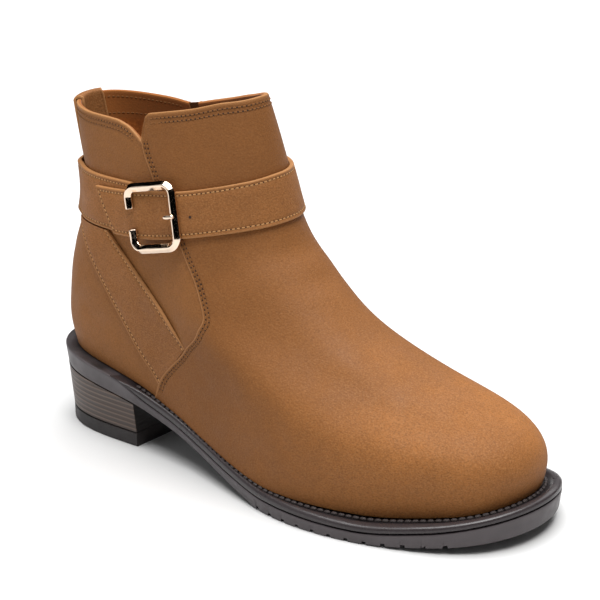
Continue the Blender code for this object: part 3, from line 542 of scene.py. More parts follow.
        def angle_for(level: Array) -> Array:
            """Angle of x in the section at a level.

            Args:
                level: Levels.

            Returns:
                Angles.
            """
            row = self.row(level)
            share = np.clip((x - row.back_x) / (row.front_x - row.back_x), 0.0, 1.0)
            angle = np.arccos(1.0 - 2.0 * share)
            return FULL_TURN - angle if side is Side.INNER else angle

        level = self.bisect(lambda at: self.point(angle_for(at), at)[..., 2] - z, x.shape)
        return angle_for(level), level

    def line_angle(self, points: Sequence[SidePoint], side: Side, level: Array) -> Array:
        """Angle of a line drawn on one side, at levels."""
        angle, at = self.side_place(column(points, "x"), column(points, "z"), side)
        return monotone(at, angle, level)

    def seam(self, level: Array) -> Array:
        """Angle of the vamp's edge on the outer side."""
        return self.line_angle(VAMP_SEAM, Side.OUTER, level)

    def zip(self, level: Array) -> Array:
        """Angle of the zip's middle line."""
        return self.line_angle(ZIP_LINE, Side.INNER, level)

    def beside(self, line: Curve, level: Array, by: Array) -> Array:
        """Angle at a distance from a line along the face, positive towards rising angles."""
        angle = line(level)
        return angle + by / self.stretch(angle, level)

    def zip_place(self, z: Array) -> tuple[Array, Array]:
        """Angle and level on the zip's middle line at heights.

        Args:
            z: Heights.

        Returns:
            Angles and levels.
        """
        angle = np.full(np.shape(z), self.side_place(*ZIP_LINE[-1], Side.INNER)[0])
        level = self.level_at(angle, z)
        for _ in range(self.zip_rounds):
            angle = self.zip(level)
            level = self.level_at(angle, z)
        return angle, level

    def collar(self, run: Sequence[CollarPoint], angle: Array) -> Array:
        """Height of the collar's edge in one of its runs."""
        return monotone(column(run, "degrees"), column(run, "z"), np.degrees(angle))

    def front_collar(self, angle: Array) -> Array:
        """Height of the vamp's collar."""
        return self.collar(COLLAR_FRONT, angle)

    def rear_collar(self, angle: Array) -> Array:
        """Height of the quarter's collar, from the zip round the heel to the seam."""
        inner = self.collar(COLLAR_INNER, angle + FULL_TURN)
        return np.where(angle < 0.0, inner, self.collar(COLLAR_OUTER, angle))


class Graph:
    """A material's node tree, with short ways to add what the finishes share."""

    def __init__(self, name: str) -> None:
        """Start a material.

        Args:
            name: Its name.
        """
        self.material = bpy.data.materials.new(name)
        self.material.use_nodes = True
        self.tree = self.material.node_tree
        self.shader = self.tree.nodes["Principled BSDF"]
        self.place = self.node("ShaderNodeTexCoord", {})["Object"]

    def feed(self, node: bpy.types.Node, inputs: dict) -> None:
        """Set or link inputs of a node.

        Args:
            node: The node.
            inputs: Values or sockets by the input's name or number.
        """
        for key, value in inputs.items():
            if isinstance(value, Socket):
                self.tree.links.new(value, node.inputs[key])
            else:
                node.inputs[key].default_value = value

    def node(self, kind: str, inputs: dict, **settings: object) -> bpy.types.NodeOutputs:
        """Add a node.

        Args:
            kind: Node type.
            inputs: Values or sockets by the input's name or number.
            **settings: Properties of the node.

        Returns:
            The node's outputs.
        """
        made = self.tree.nodes.new(kind)
        for key, value in settings.items():
            setattr(made, key, value)
        self.feed(made, inputs)
        return made.outputs

    def shade(self, **values: object) -> None:
        """Set or link inputs of the shader; underscores in a name stand for spaces."""
        self.feed(self.shader, {key.replace("_", " "): value for key, value in values.items()})

    def noise(self, scale: float, detail: float, stretch: Triple = EVEN) -> Socket:
        """Noise over the surface.

        Args:
            scale: Repeats in a metre.
            detail: Octaves.
            stretch: Scale along each axis.

        Returns:
            The noise's value.
        """
        spread = self.node("ShaderNodeMapping", {"Scale": stretch, "Vector": self.place})
        inputs = {"Scale": scale, "Detail": detail, "Vector": spread["Vector"]}
        return self.node("ShaderNodeTexNoise", inputs)["Fac"]

    def cells(self, scale: float) -> Socket:
        """Distance to the cell edges of a pebbled grain."""
        inputs = {"Scale": scale, "Vector": self.place}
        return self.node("ShaderNodeTexVoronoi", inputs, feature="SMOOTH_F1")["Distance"]

    def wave(self, scale: float, direction: str, distortion: float) -> Socket:
        """Bands along an axis."""
        inputs = {"Scale": scale, "Distortion": distortion, "Vector": self.place}
        return self.node("ShaderNodeTexWave", inputs, bands_direction=direction)["Fac"]

    def attribute(self, name: str) -> Socket:
        """Value painted on the mesh."""
        return self.node("ShaderNodeAttribute", {}, attribute_name=name)["Fac"]

    def spread(self, value: Socket, low: float, high: float, to_low: float = 0.0, to_high: float = 1.0
               ) -> Socket:
        """Map a range of values to another one."""
        inputs = {"Value": value, "From Min": low, "From Max": high, "To Min": to_low, "To Max": to_high}
        return self.node("ShaderNodeMapRange", inputs)["Result"]

    def mix(self, factor: Socket, first: Colour | Socket, second: Colour | Socket) -> Socket:
        """Mix two colours, each a colour or a socket."""
        first, second = (each if isinstance(each, Socket) else (*each, 1.0) for each in (first, second))
        return self.node("ShaderNodeMix", {"Factor": factor, 6: first, 7: second}, data_type="RGBA")[2]

    def bumps(self, *layers: tuple[Socket, float, float]) -> None:
        """Raise the surface.

        Args:
            *layers: Height, distance in metres and strength of each layer.
        """
        normal = {}
        for height, distance, strength in layers:
            inputs = {"Height": height, "Distance": distance, "Strength": strength, **normal}
            normal = {"Normal": self.node("ShaderNodeBump", inputs)["Normal"]}
        self.feed(self.shader, normal)


def deepened(colour: Colour, share: float) -> Colour:
    """A share of a colour."""
    return tuple(share * part for part in colour)


@dataclass(frozen=True)
class Finish:
    """Finish of a surface, as a named material."""

    name: str

    def paint(self, graph: Graph) -> None:
        """Feed the shader of the finish's material."""
        raise NotImplementedError

    def material(self) -> Material:
        """The finish's material.

        Returns:
            A new material.
        """
        graph = Graph(self.name)
        self.paint(graph)
        return graph.material


@dataclass(frozen=True)
class Nubuck(Finish):
    """Oiled nubuck: short nap, soft clouds of tone, fine grain and paler folded edges."""

    light: Colour
    dark: Colour
    edge: Colour = (0.38, 0.180, 0.066)
    raw: Colour = (0.66, 0.50, 0.33)
    rough_low: float = 0.58
    rough_high: float = 0.74
    sheen: float = 0.05
    nap: Triple = (1.0, 1.0, 1.5)

    def paint(self, graph: Graph) -> None:
        """Clouds, mottle, pores and nap under what is painted on the mesh: painted shade, paler edges and raw
        cut ends.

        Args:
            graph: Node tree of the material.
        """
        tone = graph.mix(graph.spread(graph.noise(22.0, 4.0), 0.36, 0.64), self.dark, self.light)
        tone = graph.mix(graph.spread(graph.noise(240.0, 4.0), 0.32, 0.72, 0.0, 0.5), tone, self.dark)
        pores = graph.spread(graph.noise(1150.0, 3.0, self.nap), 0.42, 0.68, 0.0, 0.65)
        tone = graph.mix(pores, tone, deepened(self.dark, 0.68))
        nap = graph.spread(graph.noise(1400.0, 2.0, self.nap), 0.46, 0.7, 0.0, 0.42)
        tone = graph.mix(nap, tone, self.edge)
        # painted shade: darker up the shaft, behind the toe and along the stitch grooves
        tone = graph.mix(graph.attribute("burnish"), tone, deepened(self.dark, 0.65))
        tone = graph.mix(graph.attribute("edge"), tone, self.edge)
        rough = graph.spread(graph.noise(90.0, 3.0), 0.3, 0.7, self.rough_low, self.rough_high)
        graph.shade(Base_Color=graph.mix(graph.attribute("cut"), tone, self.raw), Roughness=rough,
                    Sheen_Weight=self.sheen, Sheen_Roughness=0.45, Sheen_Tint=(*self.light, 1.0),
                    Specular_IOR_Level=0.2)
        graph.bumps((graph.noise(34.0, 2.0), 0.0016, 0.14), (graph.cells(1200.0), 0.0002, 0.7),
                    (graph.noise(3000.0, 2.0), 0.00006, 0.6))


@dataclass(frozen=True)
class Suede(Finish):
    """Suede lining with a smoother facing along the collar."""

    pile: Colour
    shaded: Colour
    facing: Colour

    def paint(self, graph: Graph) -> None:
        """Fuzzy pile beside the facing.

        Args:
            graph: Node tree of the material.
        """
        pile = graph.mix(graph.spread(graph.noise(700.0, 5.0), 0.35, 0.68), self.shaded, self.pile)
        graph.shade(Base_Color=graph.mix(graph.attribute("facing"), pile, self.facing), Roughness=0.88,
                    Sheen_Weight=0.1, Sheen_Roughness=0.5, Specular_IOR_Level=0.12)
        graph.bumps((graph.noise(1400.0, 4.0), 0.0002, 0.6))


@dataclass(frozen=True)
class Rubber(Finish):
    """Dark moulded rubber, satin with a fine moulded grain."""

    face: Colour
    worn: Colour
    rough_low: float
    rough_high: float

    def paint(self, graph: Graph) -> None:
        """Worn patches over a fine grain, and the worn colour where 'edge' is painted: painted shine on the
        sole's wall and the welt's ridge, a paler lower rim on the lift.

        Args:
            graph: Node tree of the material.
        """
        tone = graph.mix(graph.spread(graph.noise(60.0, 4.0), 0.35, 0.7), self.face, self.worn)
        rough = graph.spread(graph.noise(180.0, 4.0), 0.3, 0.7, self.rough_low, self.rough_high)
        graph.shade(Base_Color=graph.mix(graph.attribute("edge"), tone, self.worn), Roughness=rough,
                    Specular_IOR_Level=0.45)
        graph.bumps((graph.noise(900.0, 3.0), 0.00008, 0.5), (graph.noise(3500.0, 2.0), 0.00003, 0.5))


@dataclass(frozen=True)
class StackedBoard(Finish):
    """Layered heel board: thin level layers with paler lines between them."""

    layer: Colour
    line: Colour
    shaded: Colour
    # painted shade: near black for the breast face, which lies in shadow under the arch
    breast: Colour
    wave_scale: float = 130.0

    def paint(self, graph: Graph) -> None:
        """Streaked layers, lines between them and painted shade on the breast.

        Args:
            graph: Node tree of the material.
        """
        bands = graph.wave(self.wave_scale, "Z", 0.4)
        streaks = graph.noise(330.0, 4.0, (0.16, 0.16, 3.0))
        tone = graph.mix(graph.spread(streaks, 0.32, 0.7), self.shaded, self.layer)
        tone = graph.mix(graph.spread(bands, 0.62, 0.98, 0.0, 0.75), tone, self.line)
        graph.shade(Base_Color=graph.mix(graph.attribute("breast"), tone, self.breast),
                    Roughness=graph.spread(streaks, 0.3, 0.7, 0.45, 0.62))
        graph.bumps((bands, 0.00018, 0.6), (streaks, 0.0001, 0.5))


@dataclass(frozen=True)
class Plating(Finish):
    """Polished plated metal with faint wiping marks."""

    metal: Colour
    roughness: float

    def paint(self, graph: Graph) -> None:
        """Wiping marks in tone and gloss.

        Args:
            graph: Node tree of the material.
        """
        wiped = graph.noise(420.0, 4.0, (1.0, 1.0, 0.2))
        tone = graph.mix(graph.spread(wiped, 0.35, 0.7), deepened(self.metal, 0.9), self.metal)
        rough = graph.spread(wiped, 0.3, 0.7, self.roughness, self.roughness + 0.07)
        graph.shade(Base_Color=tone, Roughness=rough, Metallic=1.0)
        graph.bumps((graph.noise(900.0, 2.0), 0.00002, 0.25))


@dataclass(frozen=True)
class Lacquer(Finish):
    """Tan lacquer over metal, worn a little darker in places."""

    coat: Colour
    worn: Colour

    def paint(self, graph: Graph) -> None:
        """Worn patches under a thin coat.

        Args:
            graph: Node tree of the material.
        """
        tone = graph.mix(graph.spread(graph.noise(300.0, 4.0), 0.45, 0.8), self.coat, self.worn)
        rough = graph.spread(graph.noise(200.0, 3.0), 0.3, 0.7, 0.28, 0.42)
        graph.shade(Base_Color=tone, Roughness=rough, Coat_Weight=0.15, Coat_Roughness=0.2,
                    Specular_IOR_Level=0.3)
        graph.bumps((graph.noise(700.0, 3.0), 0.00004, 0.4))


@dataclass(frozen=True)
class Thread(Finish):
    """Twisted sewing thread or woven tape."""

    strand: Colour
    gap: Colour
    twists_per_metre: float = 900.0
    roughness: float = 0.72

    def paint(self, graph: Graph) -> None:
        """Twisted strands.

        Args:
            graph: Node tree of the material.
        """
        twist = graph.wave(self.twists_per_metre, "DIAGONAL", 1.0)
        graph.shade(Base_Color=graph.mix(twist, self.gap, self.strand), Roughness=self.roughness,
                    Specular_IOR_Level=0.15)
        graph.bumps((twist, 0.0001, 0.5))


class Finishes:
    """Materials of the boot, one of each kind."""

    # one tan nubuck in three copies whose tones differ partly as painted light: the vamp's is lighter for its
    # lit toe, the quarter's lighter to make up for light its side lacks
    vamp = Nubuck("nubuck_tan", (0.318, 0.123, 0.0325), (0.228, 0.086, 0.0225))
    quarter = Nubuck("nubuck_quarter", (0.350, 0.139, 0.038), (0.262, 0.103, 0.029))
    strap = Nubuck("nubuck_strap", (0.300, 0.118, 0.033), (0.220, 0.085, 0.024))
    lining = Suede("suede_lining", (0.42, 0.128, 0.024), (0.27, 0.079, 0.015), (0.29, 0.100, 0.024))
    # the rubbers' worn colour also paints the shine on the sole's wall and the welt's ridge
    sole = Rubber("dark_rubber", (0.016, 0.0126, 0.0132), (0.076, 0.0635, 0.0670), 0.40, 0.56)
    welt = Rubber("welt_rubber", (0.009, 0.0070, 0.0074), (0.036, 0.0288, 0.0305), 0.24, 0.36)
    lift = Rubber("lift_rubber", (0.015, 0.0115, 0.0115), (0.027, 0.021, 0.0205), 0.5, 0.65)
    board = StackedBoard("stacked_board", (0.064, 0.041, 0.031), (0.150, 0.100, 0.072),
                         (0.040, 0.026, 0.021), (0.012, 0.009, 0.008))
    gold = Plating("pale_gold", (0.93, 0.74, 0.58), 0.08)
    tan_lacquer = Lacquer("tan_lacquer", (0.27, 0.108, 0.031), (0.19, 0.074, 0.021))
    tan_thread = Thread("tan_thread", (0.54, 0.290, 0.116), (0.34, 0.170, 0.064))
    brown_thread = Thread("brown_thread", (0.250, 0.106, 0.034), (0.150, 0.062, 0.019))
    dark_thread = Thread("dark_thread", (0.095, 0.079, 0.078), (0.026, 0.021, 0.021), 700.0, 0.4)
    tape = Thread("zip_tape", (0.165, 0.068, 0.024), (0.090, 0.037, 0.013), 500.0, 0.85)
    teeth = Lacquer("zip_teeth", (0.088, 0.037, 0.014), (0.046, 0.019, 0.0075))
    # painted shade: dark colour for the needle holes and the punched hole, where only shade shows
    hole = Rubber("punched_hole", (0.022, 0.0105, 0.0055), (0.035, 0.017, 0.009), 0.8, 0.9)

    def __init__(self) -> None:
        """Make every finish's material once."""
        finishes = [each for each in vars(type(self)).values() if isinstance(each, Finish)]
        self.materials = {each: each.material() for each in finishes}


def finished(mesh: Mesh) -> Mesh:
    """Shade a mesh smooth, with crisp edges kept.

    Args:
        mesh: The mesh.

    Returns:
        The same mesh.
    """
    mesh.shade_smooth()
    mesh.set_sharp_from_angle(angle=SMOOTH_ANGLE)
    return mesh


def folded(there: Array, back: Array) -> Array:
    """Sections that run along one row of points and return along another."""
    return np.concatenate([there, back[:, ::-1]], axis=1)


def solid_mesh(name: str, points: Array, faces: list, painted: Painted | None = None) -> Mesh:
    """Mesh from points in the last's millimetres.

    Args:
        name: Name of the mesh.
        points: Points, in any grid.
        faces: Faces as lists of point numbers.
        painted: Values on the points, by name.

    Returns:
        The mesh, in metres in the solids' frame, smooth with crisp edges kept.
    """
    mesh = bpy.data.meshes.new(name)
    flat = (np.asarray(points, float).reshape(-1, 3) + ORIGIN) * MM
    mesh.from_pydata(flat.tolist(), [], [list(dict.fromkeys(face)) for face in faces])
    shape = bmesh.new()
    shape.from_mesh(mesh)
    bmesh.ops.recalc_face_normals(shape, faces=shape.faces)
    shape.to_mesh(mesh)
    shape.free()
    for key, values in (painted or {}).items():
        layer = mesh.attributes.new(key, "FLOAT", "POINT")
        layer.data.foreach_set("value", np.asarray(values, np.float32).reshape(-1))
    return finished(mesh)


def ring_faces(count: int, size: int) -> list:
    """Faces between successive closed rings of points.

    Args:
        count: Rings.
        size: Points in a ring.

    Returns:
        Faces as lists of point numbers.
    """
    i, j = np.meshgrid(np.arange(count - 1), np.arange(size), indexing="ij")
    k = (j + 1) % size
    corners = [i * size + j, i * size + k, (i + 1) * size + k, (i + 1) * size + j]
    return np.stack(corners, -1).reshape(-1, 4).tolist()


def loft(name: str, sections: Array, painted: Painted | None = None, shift: int = 0) -> Mesh:
    """Solid through successive sections, each an outgoing edge and the same edge back.

    Args:
        name: Name of the mesh.
        sections: Sections by points by coordinates.
        painted: Values on the points, by name.
        shift: 1 where a section is a ring and its first point faces none.

    Returns:
        The closed mesh.
    """
    sections = np.asarray(sections, float)
    count, size = sections.shape[:2]
    faces = ring_faces(count, size)
    for start in (0, (count - 1) * size):
        for j in range(size // 2 - 1 + shift):
            facing = ((size - 2 - j + shift) % size, (size - 1 - j + shift) % size)
            faces.append([start + corner for corner in (j, j + 1, *facing)])
    return solid_mesh(name, sections, faces, painted)


def stack(name: str, loops: Array, painted: Painted | None = None) -> Mesh:
    """Solid from level outlines; each starts at the back and its two sides face each other."""
    return loft(name, loops, painted, 1)


def both_sides(angles: Array) -> Array:
    """Angles of the outer side followed by those of the inner side, back to the start."""
    inner = [FULL_TURN - angle for angle in reversed(angles) if 0.0 < angle < math.pi - 1e-9]
    return np.array(list(angles) + inner)


def beads(name: str, centres: Array, axes: Array, sizes: Array) -> Mesh:
    """Many small rounded beads in one mesh.

    Args:
        name: Name of the mesh.
        centres: Middle of each bead.
        axes: Three unit axes of each bead, by bead, axis and coordinate.
        sizes: Half sizes along the three axes.

    Returns:
        The mesh.
    """
    belts = np.radians((-62.0, -28.0, 28.0, 62.0))
    turns = np.arange(8) * FULL_TURN / 8.0
    template = [(math.cos(belt) * math.cos(turn), math.cos(belt) * math.sin(turn), math.sin(belt))
                for belt in belts for turn in turns]
    template = np.array(template) * np.asarray(sizes)
    points = centres[:, None] + np.einsum("pk,nkc->npc", template, axes)
    size = len(turns)
    faces = ring_faces(len(belts), size)
    faces += [list(range(size)), list(range((len(belts) - 1) * size, len(belts) * size))]
    every = [[corner + i * len(template) for corner in face] for i in range(len(points)) for face in faces]
    return solid_mesh(name, points, every)


@dataclass(frozen=True)
class Stitching:
    """Row of stitches that dip into the leather at their ends, with dark discs of painted shade at the needle
    holes.
    """

    length: float = 1.55
    gap: float = 0.55
    radius: float = 0.42
    sink: float = 0.12
    hole_radius: float = 0.44
    hole_height: float = 0.15
    hole_depth: float = 0.26

    def frames(self, points: Array, outward: Array, first: float) -> tuple[Array, Array]:
        """Middles and axes of what repeats along a line.

        Args:
            points: Points of the line.
            outward: Directions out of the leather along it.
            first: Place of the first one, in repeats: 0.5 for stitches, 1 for the holes between them.

        Returns:
            Middles, and axes across, up and ahead.
        """
        places = np.concatenate([[0.0], np.cumsum(np.linalg.norm(np.diff(points, axis=0), axis=1))])
        count = max(int(places[-1] // (self.length + self.gap)), 1)
        at = np.arange(first, count, 1.0) * places[-1] / count

        def read(values: Array, where: Array) -> Array:
            """Values at places along the line."""
            return np.stack([np.interp(where, places, values[:, k]) for k in range(3)], -1)

        start, end = (read(points, at + half) for half in (-self.length / 2.0, self.length / 2.0))
        ahead = unit(end - start)
        up = read(outward, at)
        up = unit(up - ahead * (up * ahead).sum(-1, keepdims=True))
        return (start + end) / 2.0, np.stack([np.cross(up, ahead), up, ahead], axis=1)

    def rows(self, name: str, lines: Sequence[Line]) -> Mesh:
        """All stitches along some lines.

        Args:
            name: Name of the mesh.
            lines: Points and outward directions along each line.

        Returns:
            One mesh of beads.
        """
        centres, axes = map(np.concatenate, zip(*(self.frames(*line, 0.5) for line in lines)))
        size = (self.radius, self.radius, self.length / 2.0)
        return beads(name, centres - axes[:, 1] * self.sink, axes, size)

    def holes(self, name: str, lines: Sequence[Line]) -> Mesh:
        """Dark discs of painted shade at the needle holes between the stitches of some lines.

        Args:
            name: Name of the mesh.
            lines: Points and outward directions along each line.

        Returns:
            One mesh of flat beads.
        """
        centres, axes = map(np.concatenate, zip(*(self.frames(*line, 1.0) for line in lines)))
        size = (self.hole_radius, self.hole_radius, self.hole_height)
        return beads(name, centres - axes[:, 1] * self.hole_depth, axes[:, [0, 2, 1]], size)


@dataclass
class SubAssembly:
    """What every group of pieces needs: the last and the finishes."""

    last: Last
    finishes: Finishes

    def add(self, mesh: Mesh, finish: Finish, slot: str = "", extra: bool = False, body: Body = Body.BOOT
            ) -> bpy.types.Object:
        """Put a piece on its body, under its mesh's name.

        Args:
            mesh: Its mesh.
            finish: Its finish.
            slot: Name of the solid it stands for, which is hidden; its own name if empty.
            extra: True where it goes with the solid instead of standing for it, so the solid is not hidden.
            body: Body it rides on.

        Returns:
            The piece.
        """
        name = mesh.name.split(".")[0]
        slot = slot or name
        mesh.materials.append(self.finishes.materials[finish])
        piece = bpy.data.objects.new(name, mesh)
        bpy.context.scene.collection.objects.link(piece)
        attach(piece, body.value)
        if not extra:
            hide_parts(slot)
        LOG.info("piece %s", name)
        return piece

    def stitches(self, name: str, lines: Sequence[Line], finish: Finish, slot: str,
                 hole_depth: float) -> None:
        """Rows of stitches and dark discs of painted shade at the needle holes between them.

        Args:
            name: Name that the two pieces start with.
            lines: Points and outward directions along each row.
            finish: Thread.
            slot: Name of the solid the rows go with; passed on, but as the rows are extra it changes nothing.
            hole_depth: Depth of the holes under the lines.
        """
        sewing = Stitching(hole_depth=hole_depth)
        self.add(sewing.rows(f"{name}_stitches", lines), finish, slot, extra=True)
        self.add(sewing.holes(f"{name}_pinholes", lines), self.finishes.hole, slot, extra=True)

    def line(self, angle: Array, level: Array, height: Array) -> Line:
        """Points above the upper and the directions out of it."""
        height = np.broadcast_to(np.asarray(height, float), np.shape(angle))
        return self.last.lifted(angle, level, height), self.last.normal(angle, level)


class PanelGrid(NamedTuple):
    """Places of a panel's points and how far they are from its edges."""

    angle: Array
    level: Array
    from_left: Array
    from_right: Array
    from_top: Array


@dataclass
class Upper(SubAssembly):
    """Vamp and quarter panels, their lining and their seams."""

    leather: float = 1.05
    edge_round: float = 0.55
    rim_round: float = 0.8
    lap: float = 1.2
    zip_slit: float = 5.6
    slit_opens: Pair = (34.5, 39.5)
    slit_closed: float = 0.06
    facing_height: float = 13.0
    facing_step: float = 0.25
    seam_rows: Pair = (1.9, 3.7)
    collar_rows: Pair = (2.6, 4.6)
    zip_rows: Pair = (1.5, 3.4)
    groove: float = 0.26
    groove_width: float = 0.6
    hole_lift: float = 0.06
    ridge_share: float = 0.45
    ridge_away: float = 1.9
    edge_paint: float = 0.8
    edge_fades: Pair = (0.4, 1.15)
    # painted shade along the stitch grooves
    groove_shade: float = 0.3
    seam_span: Pair = (31.0, 146.0)
    zip_span: Pair = (37.0, 143.0)
    front_span: Pair = (100.5, 270.0)
    rear_span: Pair = (-74.0, 88.0)
    # painted shade: darker up the shaft and everywhere behind the toe, which leaves the toe top lighter
    burnish: float = 0.6
    rear_shade: float = 0.45
    toe_rise: Pair = (140.0, 222.0)
    shade_rise: Pair = (88.0, 124.0)
    edge_steps: Steps = (0.0, 0.12, 0.3, 0.6, 1.0, 1.5, 1.9, 2.3, 2.8, 3.4, 3.7, 4.2, 5.0, 6.5)
    rim_steps: Steps = (0.0, 0.15, 0.4, 0.8, 1.3, 2.0, 2.6, 3.2, 4.0, 4.6, 5.2, 6.5, 8.0, 10.0, 13.0)

    def slit_half(self, level: Array) -> Array:
        """Half the zip's slit, closing below its end."""
        open_share = ease(self.last.point(self.last.zip(level), level)[..., 2], *self.slit_opens)
        return self.slit_closed + (self.zip_slit / 2.0 - self.slit_closed) * open_share

    def slit_front(self, level: Array) -> Array:
        """Angle of the vamp's edge at the zip."""
        return self.last.beside(self.last.zip, level, -self.slit_half(level))

    def slit_rear(self, level: Array) -> Array:
        """Angle of the quarter's edge at the zip, counted from the back."""
        return self.last.beside(self.last.zip, level, self.slit_half(level)) - FULL_TURN

    def lapped_seam(self, level: Array) -> Array:
        """Angle of the quarter's edge under the vamp."""
        return self.last.beside(self.last.seam, level, self.lap)

    def grid(self, left: Curve, right: Curve, collar: Curve, columns: int, rows: int) -> PanelGrid:
        """Points of a panel between two edge lines, from the feather line to the collar.

        Args:
            left: Angle of the left edge by level.
            right: Angle of the right edge by level.
            collar: Height of the top edge by angle.
            columns: Columns between the crowded edges.
            rows: Rows below the crowded collar.

        Returns:
            The grid with distances from its edges.
        """
        last = self.last
        middle = np.array(0.5)
        ends = last.stretch(np.linspace(left(middle), right(middle), 60), middle)
        length = float(ends.mean() * (right(middle) - left(middle)))
        share = edge_shares(length, columns, self.edge_steps)
        height = 120.0
        near = 1.0 - np.array(self.rim_steps[::-1]) / height
        rise = np.concatenate([np.linspace(0.0, near[0], rows + 1)[:-1], near])
        top = np.full(len(share), 0.95)
        for _ in range(5):
            level = rise[:, None] * top
            first, final = left(level), right(level)
            angle = first + (final - first) * share
            top = last.level_at(angle[-1], collar(angle[-1]))
        scale = last.stretch(angle, level)
        from_top = (level[-1] - level) * last.rise(angle, level)
        return PanelGrid(angle, level, (angle - first) * scale, (final - angle) * scale, from_top)

    def creased(self, points: Array) -> Array:
        """Depth of the soft creases, each a trough with a ridge on both sides.

        Args:
            points: Points of the outer face.

        Returns:
            Depths.
        """
        depth = np.zeros(points.shape[:-1])
        for crease in CREASES:
            along = np.linspace(0.0, 1.0, 15)
            angle = np.radians(np.linspace(crease.start_degrees, crease.end_degrees, len(along)))
            z = np.linspace(crease.start_z, crease.end_z, len(along))
            route = self.last.point(angle, self.last.level_at(angle, z))
            away = np.linalg.norm(points[..., None, :] - route, axis=-1)
            fade = np.sin(math.pi * np.clip(along[away.argmin(-1)] * 0.9 + 0.05, 0.0, 1.0))
            away = away.min(-1)
            ridge = self.ridge_share * bell(away - self.ridge_away * crease.width, crease.width)
            depth += crease.depth * fade * (bell(away, crease.width) - ridge)
        return depth

    def panel(self, name: str, grid: PanelGrid, height: float, finish: Finish,
              edges: Sequence[tuple[Array, float, Pair]], creases: Array | float = 0.0) -> None:
        """Leather panel with rounded and sewn edges, and its lining.

        Args:
            name: Second word of both names.
            grid: Places of the panel's points.
            height: Height of its outer face.
            finish: Finish of the leather.
            edges: For each edge that shows, the distance from it, its rounding and its rows of stitches.
            creases: Depth of the creases.
        """
        relief = np.max([rounded(away, radius) for away, radius, _ in edges], axis=0) + creases
        sewn = sum(self.groove * bell(away - row, self.groove_width)
                   for away, _, rows in edges for row in rows)
        outer = self.last.lifted(grid.angle, grid.level, height - relief - sewn)
        inner = self.last.lifted(grid.angle, grid.level, np.full(grid.angle.shape, -self.leather))
        edge = self.edge_paint * (1.0 - ease(np.min([away for away, *_ in edges], axis=0), *self.edge_fades))
        # painted shade: darker up the shaft, behind the toe and in the stitch grooves
        burnish = self.burnish * ease(outer[..., 2], *self.shade_rise)
        burnish = np.maximum(burnish, self.rear_shade * (1.0 - ease(outer[..., 0], *self.toe_rise)))
        burnish = np.maximum(burnish, np.clip(self.groove_shade * sewn / self.groove, 0.0, 0.6))
        painted = {"edge": folded(edge, edge), "burnish": folded(burnish, burnish)}
        self.add(loft(f"upper_{name}", folded(outer, inner), painted), finish, "upper")
        self.add(self.lining(f"lining_{name}", grid), self.finishes.lining, "insole", extra=True)

    def lining(self, name: str, grid: PanelGrid) -> Mesh:
        """Lining behind a panel, with a thicker facing along the collar.

        Args:
            name: Name of the mesh.
            grid: Places of the panel's points.

        Returns:
            The closed mesh.
        """
        facing = 1.0 - ease(grid.from_top, self.facing_height - 0.6, self.facing_height + 0.6)
        depth = WALL + self.facing_step * facing - rounded(grid.from_top, self.rim_round)
        inside = self.last.lifted(grid.angle, grid.level, -depth)
        behind = self.last.lifted(grid.angle, grid.level, np.full(grid.angle.shape, -self.leather - 0.05))
        return loft(name, folded(behind, inside), {"facing": folded(facing, facing)})

    def seam_line(self, edge: Curve, inset: float, span: Pair, height: float) -> Line:
        """Line beside an edge.

        Args:
            edge: Angle of the edge by level.
            inset: Distance from it, positive towards rising angles.
            span: Heights where the line starts and ends.
            height: Height above the upper.

        Returns:
            Points and outward directions.
        """
        level = np.linspace(0.02, 1.0, 260)
        angle = self.last.beside(edge, level, inset)
        z = self.last.point(angle, level)[:, 2]
        keep = (z > span[0]) & (z < span[1])
        return self.line(angle[keep], level[keep], height)

    def collar_line(self, angle: Array, collar: Curve, below: float, height: float) -> Line:
        """Line at a distance below the collar."""
        top = self.last.level_at(angle, collar(angle))
        return self.line(angle, top - below / self.last.rise(angle, top), height)

    def build(self) -> None:
        """Panels, lining and stitches."""
        last = self.last
        vamp = self.grid(last.seam, self.slit_front, last.front_collar, 118, 66)
        self.panel("vamp", vamp, VAMP_STEP, self.finishes.vamp,
                   [(vamp.from_left, self.edge_round, self.seam_rows),
                    (vamp.from_top, self.rim_round, self.collar_rows),
                    (vamp.from_right, self.edge_round, self.zip_rows)],
                   self.creased(last.point(vamp.angle, vamp.level)))
        quarter = self.grid(self.slit_rear, self.lapped_seam, last.rear_collar, 84, 60)
        self.panel("quarter", quarter, 0.0, self.finishes.quarter,
                   [(quarter.from_left, self.edge_round, self.zip_rows),
                    (quarter.from_top, self.rim_round, self.collar_rows)])
        self.stitch()

    def stitch(self) -> None:
        """Rows along the vamp's edge, the collar and the zip."""
        last = self.last
        lines = [self.seam_line(last.seam, row, self.seam_span, VAMP_STEP) for row in self.seam_rows]
        front = np.radians(np.linspace(*self.front_span, 240))
        rear = np.radians(np.linspace(*self.rear_span, 220))
        for row in self.collar_rows:
            lines.append(self.collar_line(front, last.front_collar, row, VAMP_STEP))
            lines.append(self.collar_line(rear, last.rear_collar, row, 0.0))
        for row in self.zip_rows:
            lines.append(self.seam_line(self.slit_front, -row, self.zip_span, VAMP_STEP))
            lines.append(self.seam_line(self.slit_rear, row, self.zip_span, 0.0))
        self.stitches("upper", lines, self.finishes.brown_thread, "upper", self.groove - self.hole_lift)
        inside = []
        for angle, collar in ((front, last.front_collar), (rear, last.rear_collar)):
            for row in (3.0, self.facing_height - 2.0):
                points, outward = self.collar_line(angle, collar, row, -WALL - self.facing_step)
                inside.append((points, -outward))
        mesh = Stitching().rows("facing_stitches", inside)
        self.add(mesh, self.finishes.brown_thread, "insole", extra=True)


